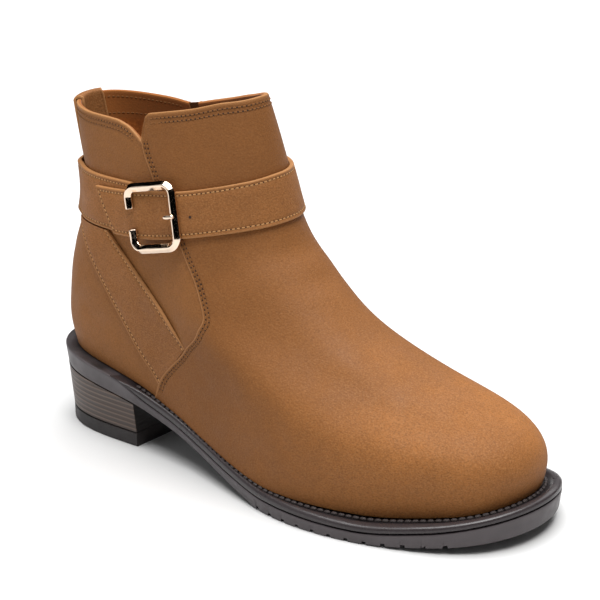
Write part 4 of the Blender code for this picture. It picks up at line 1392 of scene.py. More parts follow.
@dataclass
class BackStay(SubAssembly):
    """Strip over the heel seam, folded over the collar as a small pull."""

    thickness: float = 1.2
    half_width: float = 9.0
    bottom_z: float = 41.0
    turn_height: float = 1.4
    inside_z: float = 136.0
    edge_round: float = 0.45
    stitch_inset: float = 1.6
    groove: float = 0.2
    groove_width: float = 0.4
    edge_paint: float = 0.8
    edge_fades: Pair = (0.3, 1.0)
    steps: Steps = (0.0, 0.12, 0.3, 0.6, 1.1, 1.6, 2.1)

    def place(self, share: Array, level: float | Array) -> Array:
        """Angles across the strip at a level."""
        return (2.0 * share - 1.0) * self.half_width / self.last.stretch(np.array(0.0), np.mean(level))

    def face(self, angle: Array, level: Array, height: Array, up: float) -> Array:
        """Points at a height over the face and a distance above it along the wall."""
        rising = unit(self.last.point(angle, level) - self.last.point(angle, level - 0.01))
        return self.last.lifted(angle, level, np.broadcast_to(height, angle.shape)) + up * rising

    def build(self) -> None:
        """The strip and its stitches."""
        last = self.last
        share = edge_shares(2.0 * self.half_width, 8, self.steps)
        inset = np.minimum(share, 1.0 - share) * 2.0 * self.half_width
        relief = rounded(inset, self.edge_round)
        relief += self.groove * bell(inset - self.stitch_inset, self.groove_width)
        full = self.thickness - relief
        rim = self.place(share, 0.95)
        top = last.level_at(rim, last.rear_collar(rim))
        low = float(last.level_at(0.0, self.bottom_z))
        end = float(last.level_at(0.0, self.inside_z))
        stops = [(self.place(share, level), level, 0.0) for level in np.linspace(low, top, 56)]
        stops += [(rim, top, turn) for turn in np.linspace(0.0, math.pi, 9)]
        stops += [(self.place(share, level), level, math.pi) for level in np.linspace(top, end, 12)[1:]]
        middle, reach = -WALL / 2.0, WALL / 2.0 + GAP
        sections = []
        for angle, level, turn in stops:
            out, up = math.cos(turn), math.sin(turn)
            back = self.face(angle, level, middle + reach * out, GAP * up)
            face = self.face(angle, level, middle + (reach + full) * out, self.turn_height * up)
            sections.append(np.concatenate([back, face[::-1]]))
        edge = self.edge_paint * (1.0 - ease(inset, *self.edge_fades))
        edge = np.tile(edge, (len(sections), 2))
        self.add(loft("back_stay", sections, {"edge": edge}), self.finishes.strap)
        lines = []
        for side in (-1.0, 1.0):
            level = np.linspace(low + 0.01, float(top.mean()) - 0.01, 160)
            reach = side * (self.half_width - self.stitch_inset)
            angle = reach / last.stretch(np.zeros_like(level), level)
            lines.append(self.line(angle, level, GAP + self.thickness))
        self.stitches("back_stay", lines, self.finishes.tan_thread, "back_stay", self.groove)


@dataclass
class Straps(SubAssembly):
    """Ankle strap in two halves and the slanting straps."""

    thickness: float = 2.0
    slant_thickness: float = 1.5
    slant_gap: float = 0.45
    slant_tuck: float = 0.3
    tuck_start: float = 0.82
    rise_start: float = 100.0
    rise_end: float = 88.0
    stay_flat: float = 21.0
    stay_rise: float = 34.0
    stay_thickness: float = 1.2
    rear_end: float = 85.0
    free_end_slant: float = 4.6
    lean_fades: float = 21.0
    zip_clear: float = 3.6
    edge_round: float = 0.5
    stitch_inset: float = 1.7
    groove: float = 0.24
    groove_width: float = 0.45
    hole_sink: float = 0.06
    dome: float = 0.2
    edge_paint: float = 0.75
    edge_fades: Pair = (0.25, 0.9)
    # painted shade along the stitch grooves
    groove_shade: float = 0.85
    shade_width: float = 0.4
    end_steps: Steps = (0.0, 0.15, 0.4, 0.8, 1.5, 2.2)
    end_room: float = 3.0
    section_pitch: float = 1.5
    hole: SidePoint = SidePoint(98.5, 117.0)
    hole_radius: float = 0.65
    steps: Steps = (0.0, 0.12, 0.3, 0.6, 1.0, 1.35, 1.7, 2.05, 2.5)

    def front_base(self, degrees: Array) -> Array:
        """Height under the front strap: on the vamp, then up over the end of the rear strap."""
        raised = ease(degrees, self.rise_start, self.rise_end)
        return VAMP_STEP + GAP + raised * (self.thickness + GAP - VAMP_STEP)

    def rear_base(self, degrees: Array) -> Array:
        """Height under the rear strap, which passes over the back stay."""
        over = 1.0 - ease(np.abs(degrees), self.stay_flat, self.stay_rise)
        return GAP + over * (self.stay_thickness + GAP)

    def profile(self, width: Array, from_ends: Array, thickness: float) -> tuple[Array, Array, Array]:
        """Sections of a strap.

        Args:
            width: Width at each section.
            from_ends: Distance of each section from the nearest end.
            thickness: Thickness in the middle.

        Returns:
            Shares across, heights of the face, and distances from the nearest edge.
        """
        share = np.array([edge_shares(each, 7, self.steps) for each in width])
        side = np.minimum(share, 1.0 - share) * width[:, None]
        inset = np.minimum(side, from_ends[:, None])
        drop = np.maximum(rounded(side, self.edge_round), rounded(from_ends[:, None], self.edge_round))
        sewn = self.groove * bell(inset - self.stitch_inset, self.groove_width)
        crown = self.dome * (2.0 * share - 1.0) ** 2
        return share, thickness - drop - sewn - crown, inset

    def sewn(self, name: str, angle: Array, level: Array, base: Array, height: Array, inset: Array,
             across: Sequence[int] = (), raw_end: int | None = None) -> None:
        """Strap from its points, with a row of stitches along each edge.

        Args:
            name: Name of the piece and of the solid it stands for.
            angle: Angles of its points, section by section.
            level: Levels of its points.
            base: Height under it.
            height: Thickness at each point.
            inset: Distance from its nearest edge.
            across: Sections that carry a row of stitches across the strap.
            raw_end: Section whose end face shows the raw cut leather, if any.
        """
        last = self.last
        back = last.lifted(angle, level, base)
        face = last.lifted(angle, level, base + height)
        edge = self.edge_paint * (1.0 - ease(inset, *self.edge_fades))
        sections = folded(back, face)
        cut = np.zeros(sections.shape[:2])
        if raw_end is not None:
            cut[raw_end] = 1.0
        # painted shade along the stitch grooves
        burnish = self.groove_shade * bell(inset - self.stitch_inset, self.shade_width)
        painted = {"edge": folded(edge, edge), "burnish": folded(burnish, burnish), "cut": cut}
        self.add(loft(name, sections, painted), self.finishes.strap)
        outward = last.normal(angle, level)
        row = self.steps.index(self.stitch_inset)
        keep = inset[:, inset.shape[1] // 2] >= self.stitch_inset
        lines = [(face[keep, k], outward[keep, k]) for k in (row, -1 - row)]
        lines += [(face[i, row:-row], outward[i, row:-row]) for i in across]
        self.stitches(name, lines, self.finishes.tan_thread, name, self.hole_sink)

    def band(self, name: str, rows: Sequence[BandEdge], degrees: Array, base: Curve,
             lean: Array, raw_end: int | None = None) -> None:
        """Strap round the ankle.

        Args:
            name: Name of the piece and of the solid it stands for.
            rows: Heights of its edges by angle.
            degrees: Angles of its sections.
            base: Height under it by angle.
            lean: How far each section leans, in degrees.
            raw_end: Section whose end face shows the raw cut leather, if any.
        """
        last = self.last
        knots, low, high = (column(rows, key) for key in ("degrees", "low", "high"))
        stretch = last.stretch(np.radians(degrees[1:]), np.full(len(degrees) - 1, 0.7))
        arc = np.concatenate([[0.0], np.cumsum(np.radians(np.diff(degrees)) * stretch)])
        width = monotone(knots, high, degrees) - monotone(knots, low, degrees)
        share, height, inset = self.profile(width, np.minimum(arc, arc[-1] - arc), self.thickness)
        place = degrees[:, None] + lean[:, None] * (1.0 - 2.0 * share)
        bottom, top = monotone(knots, low, place), monotone(knots, high, place)
        angle = np.radians(place)
        level = last.level_at(angle, bottom + (top - bottom) * share)
        across = [int(np.abs(at - self.stitch_inset).argmin()) for at in (arc, arc[-1] - arc)]
        self.sewn(name, angle, level, base(place), height, inset, across, raw_end)

    def zip_edge(self, z: float, side: float) -> float:
        """Angle in degrees just clear of the zip's slit at a height."""
        angle, level = self.last.zip_place(np.array(z))
        return float(np.degrees(angle + side * self.zip_clear / self.last.stretch(angle, level)))

    def stations(self, start: float, end: float) -> Array:
        """Angles in degrees of a strap's sections, crowded at its ends.

        Args:
            start: Angle of its start.
            end: Angle of its end.

        Returns:
            Rising angles.
        """
        near = np.array(self.end_steps)
        middle = np.arange(start + self.end_room, end - self.end_room, self.section_pitch)
        return np.concatenate([start + near, middle, end - near[::-1]])

    def ankle(self) -> None:
        """The two halves of the ankle strap, with the punched hole."""
        low, high = (self.zip_edge(z, 1.0) - 360.0 for z in REAR_BAND[0][1:])
        start = (low + high) / 2.0
        rear = self.stations(start, self.rear_end)
        lean = (low - high) / 2.0 * (1.0 - ease(rear, start, start + self.lean_fades))
        self.band("ankle_strap_rear", REAR_BAND, rear, self.rear_base, lean, 0)
        low, high = (self.zip_edge(z, -1.0) for z in FRONT_BAND[-1][1:])
        end = (low + high) / 2.0
        free = FRONT_BAND[0].degrees + self.free_end_slant
        front = self.stations(free, end)
        lean = self.free_end_slant * (1.0 - ease(front, free, free + self.lean_fades))
        lean += (low - high) / 2.0 * ease(front, end - self.lean_fades, end)
        self.band("ankle_strap_front", FRONT_BAND, front, self.front_base, lean)
        self.punch()

    def punch(self) -> None:
        """Dark disc with a pressed rim in the front strap, painted shade for the punched hole."""
        last = self.last
        angle, level = last.side_place(self.hole.x, self.hole.z, Side.OUTER)
        out = last.normal(angle, level)
        across = unit(np.cross(out, np.array([0.0, 0.0, 1.0])))
        up = np.cross(across, out)
        middle = last.point(angle, level) + out * (float(self.front_base(np.degrees(angle))) + self.thickness)
        turns = np.arange(16) * FULL_TURN / 16.0
        rings = ((1.0, -0.3), (1.0, 0.04), (0.8, 0.07), (0.6, 0.03), (0.05, 0.02))
        loops = [[middle + self.hole_radius * size * (math.cos(t) * across + math.sin(t) * up) + out * height
                  for t in turns] for size, height in rings]
        self.add(stack("strap_hole", loops), self.finishes.hole, "ankle_strap_front", extra=True)

    def slant(self, name: str, rows: Sequence[SlantSection], side: Side, tuck: float) -> None:
        """Slanting strap on one side with its stitches.

        Args:
            name: Name of the piece and of the solid it stands for.
            rows: Its two edges along it.
            side: Side of the foot.
            tuck: 1 where its lower end thins to slip under the vamp.
        """
        along = np.linspace(0.0, 1.0, 72)
        edges = spline(np.linspace(0.0, 1.0, len(rows)), rows, along)
        high, low = edges[:, None, :2], edges[:, None, 2:]
        width = np.linalg.norm(edges[:, :2] - edges[:, 2:], axis=1)
        share, height, inset = self.profile(width, np.full(len(along), width.max()), self.slant_thickness)
        plan = low + (high - low) * share[..., None]
        angle, level = self.last.side_place(plan[..., 0], plan[..., 1], side)
        tucked = tuck * ease(along, self.tuck_start, 1.0)[:, None]
        height = np.maximum(height - tucked * (self.slant_thickness - self.slant_tuck), 0.1)
        base = np.broadcast_to(self.slant_gap * (1.0 - 0.9 * tucked), angle.shape)
        self.sewn(name, angle, level, base, height, inset, raw_end=None if tuck else -1)

    def build(self) -> None:
        """All straps."""
        self.slant("slant_strap_outer", SLANT_OUTER, Side.OUTER, 1.0)
        self.slant("slant_strap_inner", SLANT_INNER, Side.INNER, 0.0)
        self.ankle()


@dataclass
class Buckle(SubAssembly):
    """Bevelled frame, open at its rear bar, and its short prong."""

    straps: Straps | None = None
    centre: SidePoint = SidePoint(80.0, 114.0)
    tilt: float = math.radians(13.0)
    length: float = 27.5
    height: float = 31.0
    bar: float = 4.2
    corner: float = 4.2
    rim: float = 0.9
    ridge: float = 2.6
    flat: float = 0.35
    opening: float = 9.0
    step: float = 1.2
    corner_steps: int = 12
    bevel: float = 0.22
    prong_radius: float = 1.0

    def place(self, along: Array, across: Array) -> tuple[Array, Array]:
        """Points of the buckle's plan laid on the strap.

        Args:
            along: Distances from its middle along the strap.
            across: Distances from its middle across the strap.

        Returns:
            Points, and directions out of the strap.
        """
        along = np.asarray(along, float)
        x = self.centre.x + along * math.cos(self.tilt) - across * math.sin(self.tilt)
        z = self.centre.z + along * math.sin(self.tilt) + across * math.cos(self.tilt)
        angle, level = self.last.side_place(x, z, Side.OUTER)
        lift = self.straps.front_base(np.degrees(angle)) + self.straps.thickness + GAP
        return self.last.lifted(angle, level, lift), self.last.normal(angle, level)

    def path(self) -> Array:
        """Middle line of the bar, from one side of the opening round to the other.

        Returns:
            Plan points, along and across.
        """
        half_length = (self.length - self.bar) / 2.0
        half_height = (self.height - self.bar) / 2.0
        path = [(-half_length, self.opening / 2.0)]
        turns = ((-1.0, 1.0, 180.0), (1.0, 1.0, 90.0), (1.0, -1.0, 0.0), (-1.0, -1.0, -90.0))
        for side, end, start in turns:
            for i in range(self.corner_steps + 1):
                turn = math.radians(start - 90.0 * i / self.corner_steps)
                along = side * (half_length - self.corner) + self.corner * math.cos(turn)
                path.append((along, end * (half_height - self.corner) + self.corner * math.sin(turn)))
        path.append((-half_length, -self.opening / 2.0))
        dense = [path[0]]
        for start, end in zip(path, path[1:]):
            pieces = max(1, round(math.dist(start, end) / self.step))
            ahead = (np.array(end) - start) / pieces
            dense += [tuple(start + ahead * i) for i in range(1, pieces + 1)]
        return np.array(dense)

    def build(self) -> None:
        """Frame and prong."""
        path = self.path()
        points, normals = self.place(path[:, 0], path[:, 1])
        beside = unit(np.cross(normals, np.gradient(points, axis=0)))
        half = self.bar / 2.0
        profile = ((-half, 0.0), (-half, self.rim), (-self.flat, self.ridge),
                   (self.flat, self.ridge), (half, self.rim), (half, 0.0))
        sections = np.stack([points + side * beside + up * normals for side, up in profile], axis=1)
        buckle = self.add(loft("buckle_frame", sections), self.finishes.gold)
        soften = buckle.modifiers.new("soften", "BEVEL")
        soften.width = self.bevel * MM
        soften.segments = 2
        soften.limit_method = "ANGLE"
        self.prong()

    def prong(self) -> None:
        """Hooked prong over the front bar."""
        bar = (self.length - self.bar) / 2.0
        share = np.linspace(0.0, 1.0, 24)
        along, height = spline(np.linspace(0.0, 1.0, len(PRONG)), PRONG, share).T
        points, normals = self.place(bar + along, np.zeros(len(along)))
        points = points + normals * height[:, None]
        ahead = unit(np.gradient(points, axis=0))
        beside = unit(np.cross(normals, ahead))
        above = np.cross(ahead, beside)
        taper = np.sqrt(np.clip(1.0 - (2.0 * share - 1.0) ** 8, 0.02, 1.0)) * self.prong_radius
        turns = np.arange(12) * FULL_TURN / 12.0
        round_about = [math.cos(turn) * beside + math.sin(turn) * above for turn in turns]
        sections = np.stack([points + taper[:, None] * away for away in round_about], axis=1)
        self.add(stack("buckle_prong", sections), self.finishes.gold)


@dataclass
class Zip(SubAssembly):
    """Tape, teeth, slider and hanging pull."""

    bottom_z: float = 38.5
    top_z: float = 149.4
    tape_half: float = 2.6
    tape_low: float = -1.5
    tape_high: float = -0.75
    rib_height: float = 0.12
    rib_count: float = 6.0
    tooth_pitch: float = 1.45
    tooth_offset: float = 0.72
    tooth_size: Triple = (1.1, 0.52, 0.55)
    tooth_height: float = -0.35
    slider_z: float = 142.0
    slider_width: float = 8.0
    slider_length: float = 11.0
    slider_thickness: float = 1.6
    slider_clear: float = 0.4
    arch_width: float = 2.2
    arch_length: float = 10.0
    arch_bar: float = 1.0
    pivot_room: float = 1.35
    pivot_down: float = 2.4
    pull_thickness: float = 1.6
    pull_bar: float = 1.5
    window_width: float = 3.4
    window_length: float = 4.6
    head_width: float = 6.0
    pull_width: float = 9.5
    pull_length: float = 34.0
    shoulder: float = 15.0
    pull_bevel: float = 0.3

    def axes(self, z: Array) -> tuple[Array, Array, Array, Array]:
        """Directions along the zip.

        Args:
            z: Heights.

        Returns:
            Directions across, down and out, and points on the upper.
        """
        z = np.asarray(z, float)
        above, point, below = (self.last.point(*self.last.zip_place(z + up)) for up in (1.0, 0.0, -1.0))
        down = unit(below - above)
        out = self.last.normal(*self.last.zip_place(z))
        out = unit(out - down * (out * down).sum(-1, keepdims=True))
        return np.cross(down, out), down, out, point

    def chain(self) -> None:
        """Tape with a ribbed cord along each row of teeth."""
        z = np.linspace(self.bottom_z, self.top_z, 90)
        across, _, out, point = self.axes(z)
        share = np.linspace(-1.0, 1.0, 15)
        ribs = self.rib_height * np.cos(share * self.rib_count * math.pi)
        spots = [point + across * side * self.tape_half for side in share]
        face = [spot + out * (self.tape_high + rib) for spot, rib in zip(spots, ribs)]
        back = [spot + out * self.tape_low for spot in spots[::-1]]
        self.add(loft("zip_tape", np.stack(face + back, axis=1)), self.finishes.tape, "zip_chain")
        count = int((self.top_z - self.bottom_z) / self.tooth_pitch)
        heights = self.bottom_z + 0.5 + np.arange(count) * self.tooth_pitch
        centres, frames = [], []
        for side, shift in ((-1.0, 0.0), (1.0, self.tooth_pitch / 2.0)):
            across, down, out, point = self.axes(heights + shift)
            centres.append(point + across * side * self.tooth_offset + out * self.tooth_height)
            frames.append(np.stack([across, down, out], axis=1))
        mesh = beads("zip_teeth", np.concatenate(centres), np.concatenate(frames), self.tooth_size)
        self.add(mesh, self.finishes.teeth, "zip_chain", extra=True)

    def local(self, matrix: tuple, points: Sequence) -> Array:
        """Points given from the slider, in the last's millimetres.

        Args:
            matrix: The slider's directions and its place.
            points: Distances across, down and out.

        Returns:
            Points.
        """
        across, down, out, origin = matrix
        points = np.asarray(points, float)
        return origin + points[..., :1] * across + points[..., 1:2] * down + points[..., 2:] * out

    def slider(self) -> None:
        """Waisted slider plate and the arch that holds the pull."""
        matrix = self.axes(np.array(self.slider_z))
        base = VAMP_STEP + self.slider_clear
        top = base + self.slider_thickness
        turns = np.arange(40) * FULL_TURN / 40.0
        side, along = squared(np.cos(turns), 0.45), squared(np.sin(turns), 0.45)
        waist = 1.0 - 0.16 * bell(along - 0.15, 0.45) - 0.12 * ease(along, 0.3, 1.0)
        plan = np.stack([side * waist * self.slider_width, along * self.slider_length], -1) / 2.0
        levels = ((0.9, base), (1.0, base + 0.3), (1.0, top - 0.45), (0.95, top - 0.12), (0.86, top))
        loops = [np.concatenate([plan * size, np.full((40, 1), height)], axis=1) for size, height in levels]
        self.add(stack("zip_slider", self.local(matrix, loops)), self.finishes.tan_lacquer)
        under = top + 2.0 * self.pivot_room
        reach = (self.arch_length - self.arch_bar) / 2.0
        rise = under + self.arch_bar / 2.0 - (top - 0.4)
        bend = np.linspace(0.0, math.pi, 25)
        along = -reach * squared(np.cos(bend), 0.5)
        height = top - 0.4 + rise * np.sin(bend) ** 0.5
        ahead = unit(np.stack([np.gradient(along), np.gradient(height)], -1))
        half = self.arch_width / 2.0
        thick = self.arch_bar / 2.0
        inner = half - 0.4
        corners = [(-half, -0.6), (-half, 0.6), (-inner, 1.0), (inner, 1.0),
                   (half, 0.6), (half, -0.6), (inner, -1.0), (-inner, -1.0)]
        sections = [[(side, y - tilt[1] * thick * up, z + tilt[0] * thick * up) for side, up in corners]
                    for y, z, tilt in zip(along, height, ahead)]
        arch = stack("zip_slider_arch", self.local(matrix, sections))
        self.add(arch, self.finishes.tan_lacquer, "zip_slider", extra=True)

    def pull(self) -> None:
        """Pull tab whose top bar hangs under the arch, drawn about the hinge and moved onto it."""
        across, down, out, point = self.axes(np.array(self.slider_z))
        height = VAMP_STEP + self.slider_clear + self.slider_thickness + self.pivot_room
        hinge = point + height * out + self.pivot_down * down
        bar = self.pull_bar / 2.0
        inset = self.pull_bevel
        head = self.head_width / 2.0 - inset
        wide = self.pull_width / 2.0 - inset
        window_end = bar + self.window_length
        end = self.pull_length - inset
        tip = [(wide * math.cos(turn), end - wide + wide * math.sin(turn))
               for turn in np.linspace(0.0, math.pi, 25)]
        swell = [(head + (wide - head) * float(ease(y, window_end, self.shoulder)), y)
                 for y in np.linspace(window_end, self.shoulder, 8)]
        outer = [(-head + bar, -bar + inset), (head - bar, -bar + inset), (head, 0.0)]
        outer += swell + tip + [(-x, y) for x, y in reversed(swell)] + [(-head, 0.0)]
        half = self.window_width / 2.0 + inset
        near, far = bar - inset, window_end + inset
        window = [(-half, near), (-half, far), (half, far), (half, near)]
        plan = bpy.data.curves.new("zip_pull_tab", "CURVE")
        plan.dimensions = "2D"
        plan.fill_mode = "BOTH"
        plan.extrude = (self.pull_thickness / 2.0 - inset) * MM
        plan.bevel_depth = inset * MM
        plan.bevel_resolution = 2
        for loop in (outer, window):
            line = plan.splines.new("POLY")
            line.points.add(len(loop) - 1)
            line.use_cyclic_u = True
            for knot, (x, y) in zip(line.points, loop):
                knot.co = (x * MM, y * MM, 0.0, 1.0)
        tab = bpy.data.objects.new("pull_plan", plan)
        bpy.context.scene.collection.objects.link(tab)
        bpy.context.view_layer.update()
        mesh = bpy.data.meshes.new_from_object(tab.evaluated_get(bpy.context.evaluated_depsgraph_get()))
        bpy.data.objects.remove(tab)
        matrix = Matrix(np.stack([across, down, out], axis=1).tolist()).to_4x4()
        matrix.translation = Vector((hinge + ORIGIN) * MM)
        mesh.transform(matrix)
        mesh.name = "zip_pull_tab"
        self.add(finished(mesh), self.finishes.tan_lacquer, "zip_pull", body=Body.PULL)

    def build(self) -> None:
        """Chain, slider and pull."""
        self.chain()
        self.slider()
        self.pull()


@dataclass
class Sole(SubAssembly):
    """Outsole with its tread, welt with its stitches, and insole."""

    edge: float = 0.7
    welt_start_x: float = 47.0
    welt_thickness: float = 3.4
    welt_lip: float = 4.0
    welt_skive: float = 24.0
    tread_first_x: float = 147.0
    tread_pitch: float = 8.0
    tread_count: int = 12
    tread_width: float = 1.6
    tread_depth: float = 1.1
    tread_slope: float = 0.15
    insole_thickness: float = 3.0
    insole_clear: float = 0.8
    stitch_share: float = 0.72
    stitch_height: float = -0.25
    skive_least: float = 0.06
    wall_parts: Steps = (0.12, 0.3, 0.5, 0.7, 0.88)
    wall_shine: Steps = (0.0, 0.3, 0.7, 0.8, 0.75, 0.7, 0.7, 0.75, 0.8, 0.9, 1.0, 0.1, 0.0)
    welt_shine: Steps = (0.2, 0.5, 0.7, 0.8, 0.9, 1.0, 1.0, 0.9, 0.2, 0.0, 0.0, 0.0, 0.0)

    def feather(self, angles: Array, by: float) -> Array:
        """Points inside the upper's lower edge, at a distance from its outer face."""
        away = unit(self.last.normal(angles, np.zeros(1)) * np.array([1.0, 1.0, 0.0]))
        return self.last.point(angles, np.zeros(1)) - by * away

    def treads(self) -> list[Pair]:
        """Places along the sole where the tread changes.

        Returns:
            Places, each with the depth cut there.
        """
        stations = []
        for i in range(self.tread_count):
            middle = self.tread_first_x + i * self.tread_pitch
            for side in (-1.0, 1.0):
                stations.append((middle + side * self.tread_width / 2.0, self.tread_depth))
                stations.append((middle + side * (self.tread_width / 2.0 + self.tread_slope), 0.0))
        return sorted(stations)

    def outsole(self) -> None:
        """Outsole with its heel seat, rebate for the welt and cross grooves."""
        last = self.last
        treads = [(last.outline_angle(SOLE_BOTTOM, x), depth) for x, depth in self.treads()]
        fixed = [angle for angle, _ in treads]
        plain = [a for a in np.linspace(0.0, math.pi, 131) if min(abs(a - b) for b in fixed) > 0.004]
        around = both_sides(sorted(plain + fixed))
        turned = np.minimum(around, FULL_TURN - around)
        cut = {round(angle, 6): depth for angle, depth in treads}
        depth = np.array([cut.get(round(a, 6), 0.0) for a in turned])
        rebate = self.welt_thickness * self.skived(around)
        edge = self.edge
        under = [last.loop(shrink(SOLE_BOTTOM, inset * edge), around,
                           lambda x: last.sole_bottom(x) + depth + up * edge)
                 for inset, up in ((2.0, 0.0), (1.0, 0.0), (0.3, 0.3), (0.0, 1.0))]
        over = [last.loop(shrink(SOLE_TOP, inset * edge), around,
                          lambda x: last.sole_top(x) - rebate - down * edge)
                for inset, down in ((0.0, 1.0), (0.3, 0.3), (1.0, 0.0), (3.0, 0.0))]
        wall = [under[-1] + (over[0] - under[-1]) * part for part in self.wall_parts]
        painted = {"edge": np.tile(np.array(self.wall_shine)[:, None], (1, len(around)))}
        self.add(stack("outsole", under + wall + over, painted), self.finishes.sole)

    def skived(self, angles: Array) -> Array:
        """Share of the welt's thickness: it thins to nothing at its ends beside the heel."""
        x, _ = self.last.outline(SOLE_TOP, angles)
        return ease(x, self.welt_start_x, self.welt_start_x + self.welt_skive)

    def ledge(self, angles: Array, point: ProfilePoint) -> Array:
        """Points of the welt's section between the sole's outline and the upper.

        Args:
            angles: Angles round the sole.
            point: Place in the section.

        Returns:
            Points.
        """
        x, y = self.last.outline(SOLE_TOP, angles)
        inner = self.feather(angles, 0.4)
        plan = np.stack([x, y], -1)
        plan = plan + (inner[:, :2] - plan) * point.share
        height = point.height * np.maximum(self.skived(angles), self.skive_least)
        return np.concatenate([plan, (self.last.sole_top(plan[:, 0]) + height)[:, None]], axis=1)

    def welt(self) -> None:
        """Welt strip with its ridge, its channel and the stitches in it."""
        start = self.last.outline_angle(SOLE_TOP, self.welt_start_x + self.tread_slope + GAP)
        angles = np.linspace(start, FULL_TURN - start, 320)
        under = self.feather(angles, WALL + self.welt_lip)
        depth = (self.welt_thickness - GAP) * np.maximum(self.skived(angles), self.skive_least)
        under[:, 2] = self.last.sole_top(under[:, 0]) - depth
        upward = [self.ledge(angles, point) for point in WELT_PROFILE]
        downward = [under + (upward[0] - under) * part
                    for part in np.linspace(0.0, 1.0, len(upward) + 1)[:-1]]
        shine = [0.0] * len(downward) + list(self.welt_shine)
        sections = np.stack(downward + upward, axis=1)
        painted = {"edge": np.tile(np.array(shine), (len(angles), 1))}
        self.add(loft("welt", sections, painted), self.finishes.welt)
        sewn = angles[self.skived(angles) > 0.5]
        line = self.ledge(sewn, ProfilePoint(self.stitch_share, self.stitch_height))
        outward = np.tile(np.array([0.0, 0.0, 1.0]), (len(sewn), 1))
        mesh = Stitching(2.9, 0.35, 0.92, -0.1).rows("welt_stitches", [(line, outward)])
        self.add(mesh, self.finishes.dark_thread, "welt", extra=True)

    def insole(self) -> None:
        """Insole covered in suede, soft at its edge."""
        around = both_sides(list(np.linspace(0.0, math.pi, 90)))
        loops = []
        for inset, height in ((0.0, 0.0), (0.0, 2.0), (0.35, 2.6), (1.0, self.insole_thickness),
                              (6.0, self.insole_thickness), (14.0, self.insole_thickness - 0.4)):
            ring = self.feather(around, WALL + self.insole_clear + inset)
            ring[:, 2] = self.last.sole_top(ring[:, 0]) + GAP + height
            loops.append(ring)
        self.add(stack("insole", loops), self.finishes.lining)

    def build(self) -> None:
        """Outsole, welt and insole."""
        self.outsole()
        self.welt()
        self.insole()


@dataclass
class Heel(SubAssembly):
    """Stacked block heel and the lift under it, cut flat at the breast."""

    breast_x: float = 60.0
    lift: float = 6.5
    lift_edge: float = 0.6
    around: int = 60
    breast_points: int = 11
    breast_margin: float = 0.006

    def loop(self, outline: Outline, height: Curve) -> Array:
        """Heel outline closed by the straight breast.

        Args:
            outline: Outline of the sole at this height.
            height: Height by place along the foot.

        Returns:
            Points of the loop.
        """
        turn = np.linspace(0.0, self.last.outline_angle(outline, self.breast_x), self.around)
        outer = self.last.loop(outline, turn, height)
        inner = self.last.loop(outline, FULL_TURN - turn[:0:-1], height)
        share = np.linspace(self.breast_margin, 1.0 - self.breast_margin, self.breast_points)[:, None]
        return np.concatenate([outer, outer[-1] + (inner[0] - outer[-1]) * share, inner])

    def build(self) -> None:
        """Stack and lift."""
        last = self.last

        def flat(z: float) -> Curve:
            """Level height for a loop."""
            return lambda x: np.full_like(x, z)

        low = self.loop(HEEL_BOTTOM, flat(self.lift + GAP))
        high = self.loop(SOLE_BOTTOM, lambda x: last.sole_bottom(x) - GAP)
        foot = self.loop(shrink(HEEL_BOTTOM, 0.5), flat(self.lift + GAP))
        loops = [foot] + [low + (high - low) * part for part in np.linspace(0.02, 1.0, 14)]
        # the breast face carries the board's painted shade
        breast = np.zeros((len(loops), len(low)))
        breast[:, self.around:self.around + self.breast_points] = 1.0
        self.add(stack("heel_stack", loops, {"breast": breast}), self.finishes.board)
        edge = self.lift_edge
        levels = ((edge, 0.0), (0.3 * edge, 0.3 * edge), (0.0, edge), (0.0, self.lift - 0.3),
                  (0.3, self.lift))
        loops = [self.loop(shrink(HEEL_BOTTOM, inset), flat(z)) for inset, z in levels]
        painted = {"edge": np.tile(np.array([0.6, 0.8, 0.5, 0.1, 0.0])[:, None], (1, len(loops[0])))}
        self.add(stack("heel_top_piece", loops, painted), self.finishes.lift)


class Lamp(NamedTuple):
    """Soft area light: place, size, power and colour."""

    name: str
    place: Triple
    size: float
    watts: float
    tint: Colour


LAMPS = (
    Lamp("key", (0.5, -0.3, 1.2), 0.6, 4.5, (1.0, 0.985, 0.96)),
    Lamp("fill", (-0.9, -1.3, 0.9), 1.2, 2.0, (0.97, 0.985, 1.0)),
    Lamp("back", (-0.4, 1.2, 1.1), 1.2, 7.0, (1.0, 1.0, 1.0)),
)


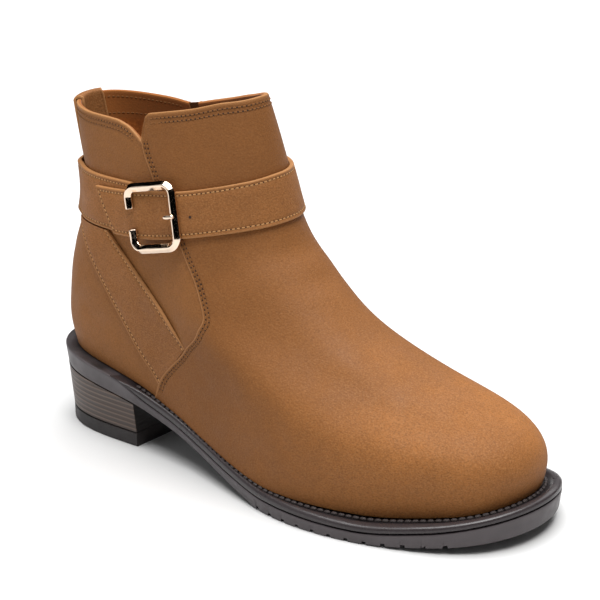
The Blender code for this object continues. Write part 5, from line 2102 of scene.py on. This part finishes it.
@dataclass
class Studio:
    """Pale floor, soft lights and the camera at the photograph's angle."""

    eye: Triple = (0.5947, -0.7144, 0.4127)
    target: Triple = (0.004, 0.0, 0.0785)
    lens: float = 137.0
    roll: float = math.radians(-0.73)
    floor_half: float = 4.0
    floor_colour: Colour = (0.64, 0.64, 0.64)
    sky: float = 0.18
    overhead: float = 4.8
    overhead_angle: float = math.radians(56.0)

    def floor(self) -> None:
        """Plain pale floor."""
        mesh = bpy.data.meshes.new("floor")
        half = self.floor_half
        corners = [(-half, -half, 0.0), (half, -half, 0.0), (half, half, 0.0), (-half, half, 0.0)]
        mesh.from_pydata(corners, [], [range(4)])
        graph = Graph("pale_floor")
        graph.shade(Base_Color=(*self.floor_colour, 1.0), Roughness=0.7, Specular_IOR_Level=0.15)
        mesh.materials.append(graph.material)
        floor = bpy.data.objects.new("floor", mesh)
        bpy.context.scene.collection.objects.link(floor)

    def lights(self) -> None:
        """Area lights and an even sky."""
        scene = bpy.context.scene
        for lamp in LAMPS:
            data = bpy.data.lights.new(lamp.name, "AREA")
            data.energy = lamp.watts
            data.size = lamp.size
            data.color = lamp.tint
            light = bpy.data.objects.new(lamp.name, data)
            light.location = lamp.place
            aim = Vector(self.target) - Vector(lamp.place)
            light.rotation_euler = aim.to_track_quat("-Z", "Y").to_euler()
            scene.collection.objects.link(light)
        overhead = bpy.data.lights.new("overhead", "SUN")
        overhead.energy = self.overhead
        overhead.angle = self.overhead_angle
        scene.collection.objects.link(bpy.data.objects.new("overhead", overhead))
        world = bpy.data.worlds.new("studio")
        world.use_nodes = True
        sky = world.node_tree.nodes["Background"]
        sky.inputs["Color"].default_value = (1.0, 1.0, 1.0, 1.0)
        sky.inputs["Strength"].default_value = self.sky
        scene.world = world
        world.cycles_visibility.glossy = False
        scene.view_settings.view_transform = "Standard"

    def camera(self) -> None:
        """Camera at the photograph's place, turned to the boot."""
        data = bpy.data.cameras.new("camera")
        data.lens = self.lens
        camera = bpy.data.objects.new("camera", data)
        back = (Vector(self.eye) - Vector(self.target)).normalized()
        right = Vector((0.0, 0.0, 1.0)).cross(back).normalized()
        above = back.cross(right)
        turned = right * math.cos(self.roll) + above * math.sin(self.roll)
        upright = above * math.cos(self.roll) - right * math.sin(self.roll)
        matrix = Matrix((turned, upright, back)).transposed().to_4x4()
        matrix.translation = Vector(self.eye)
        camera.matrix_world = matrix
        bpy.context.scene.collection.objects.link(camera)
        bpy.context.scene.camera = camera

    def build(self) -> None:
        """Floor, lights and camera."""
        self.camera()
        self.floor()
        self.lights()


def main() -> None:
    """Build the boot and its studio."""
    logging.basicConfig(level=logging.INFO, format="%(name)s: %(message)s")
    finishes = Finishes()
    straps = Straps(SHAPE, finishes)
    groups = (
        Studio(),
        Sole(SHAPE, finishes),
        Heel(SHAPE, finishes),
        Upper(SHAPE, finishes),
        BackStay(SHAPE, finishes),
        straps,
        Buckle(SHAPE, finishes, straps),
        Zip(SHAPE, finishes),
    )
    for group in groups:
        LOG.info("building %s", type(group).__name__)
        group.build()


SHAPE = Last()
ORIGIN = SHAPE.origin()

if __name__ == "__main__":
    main()
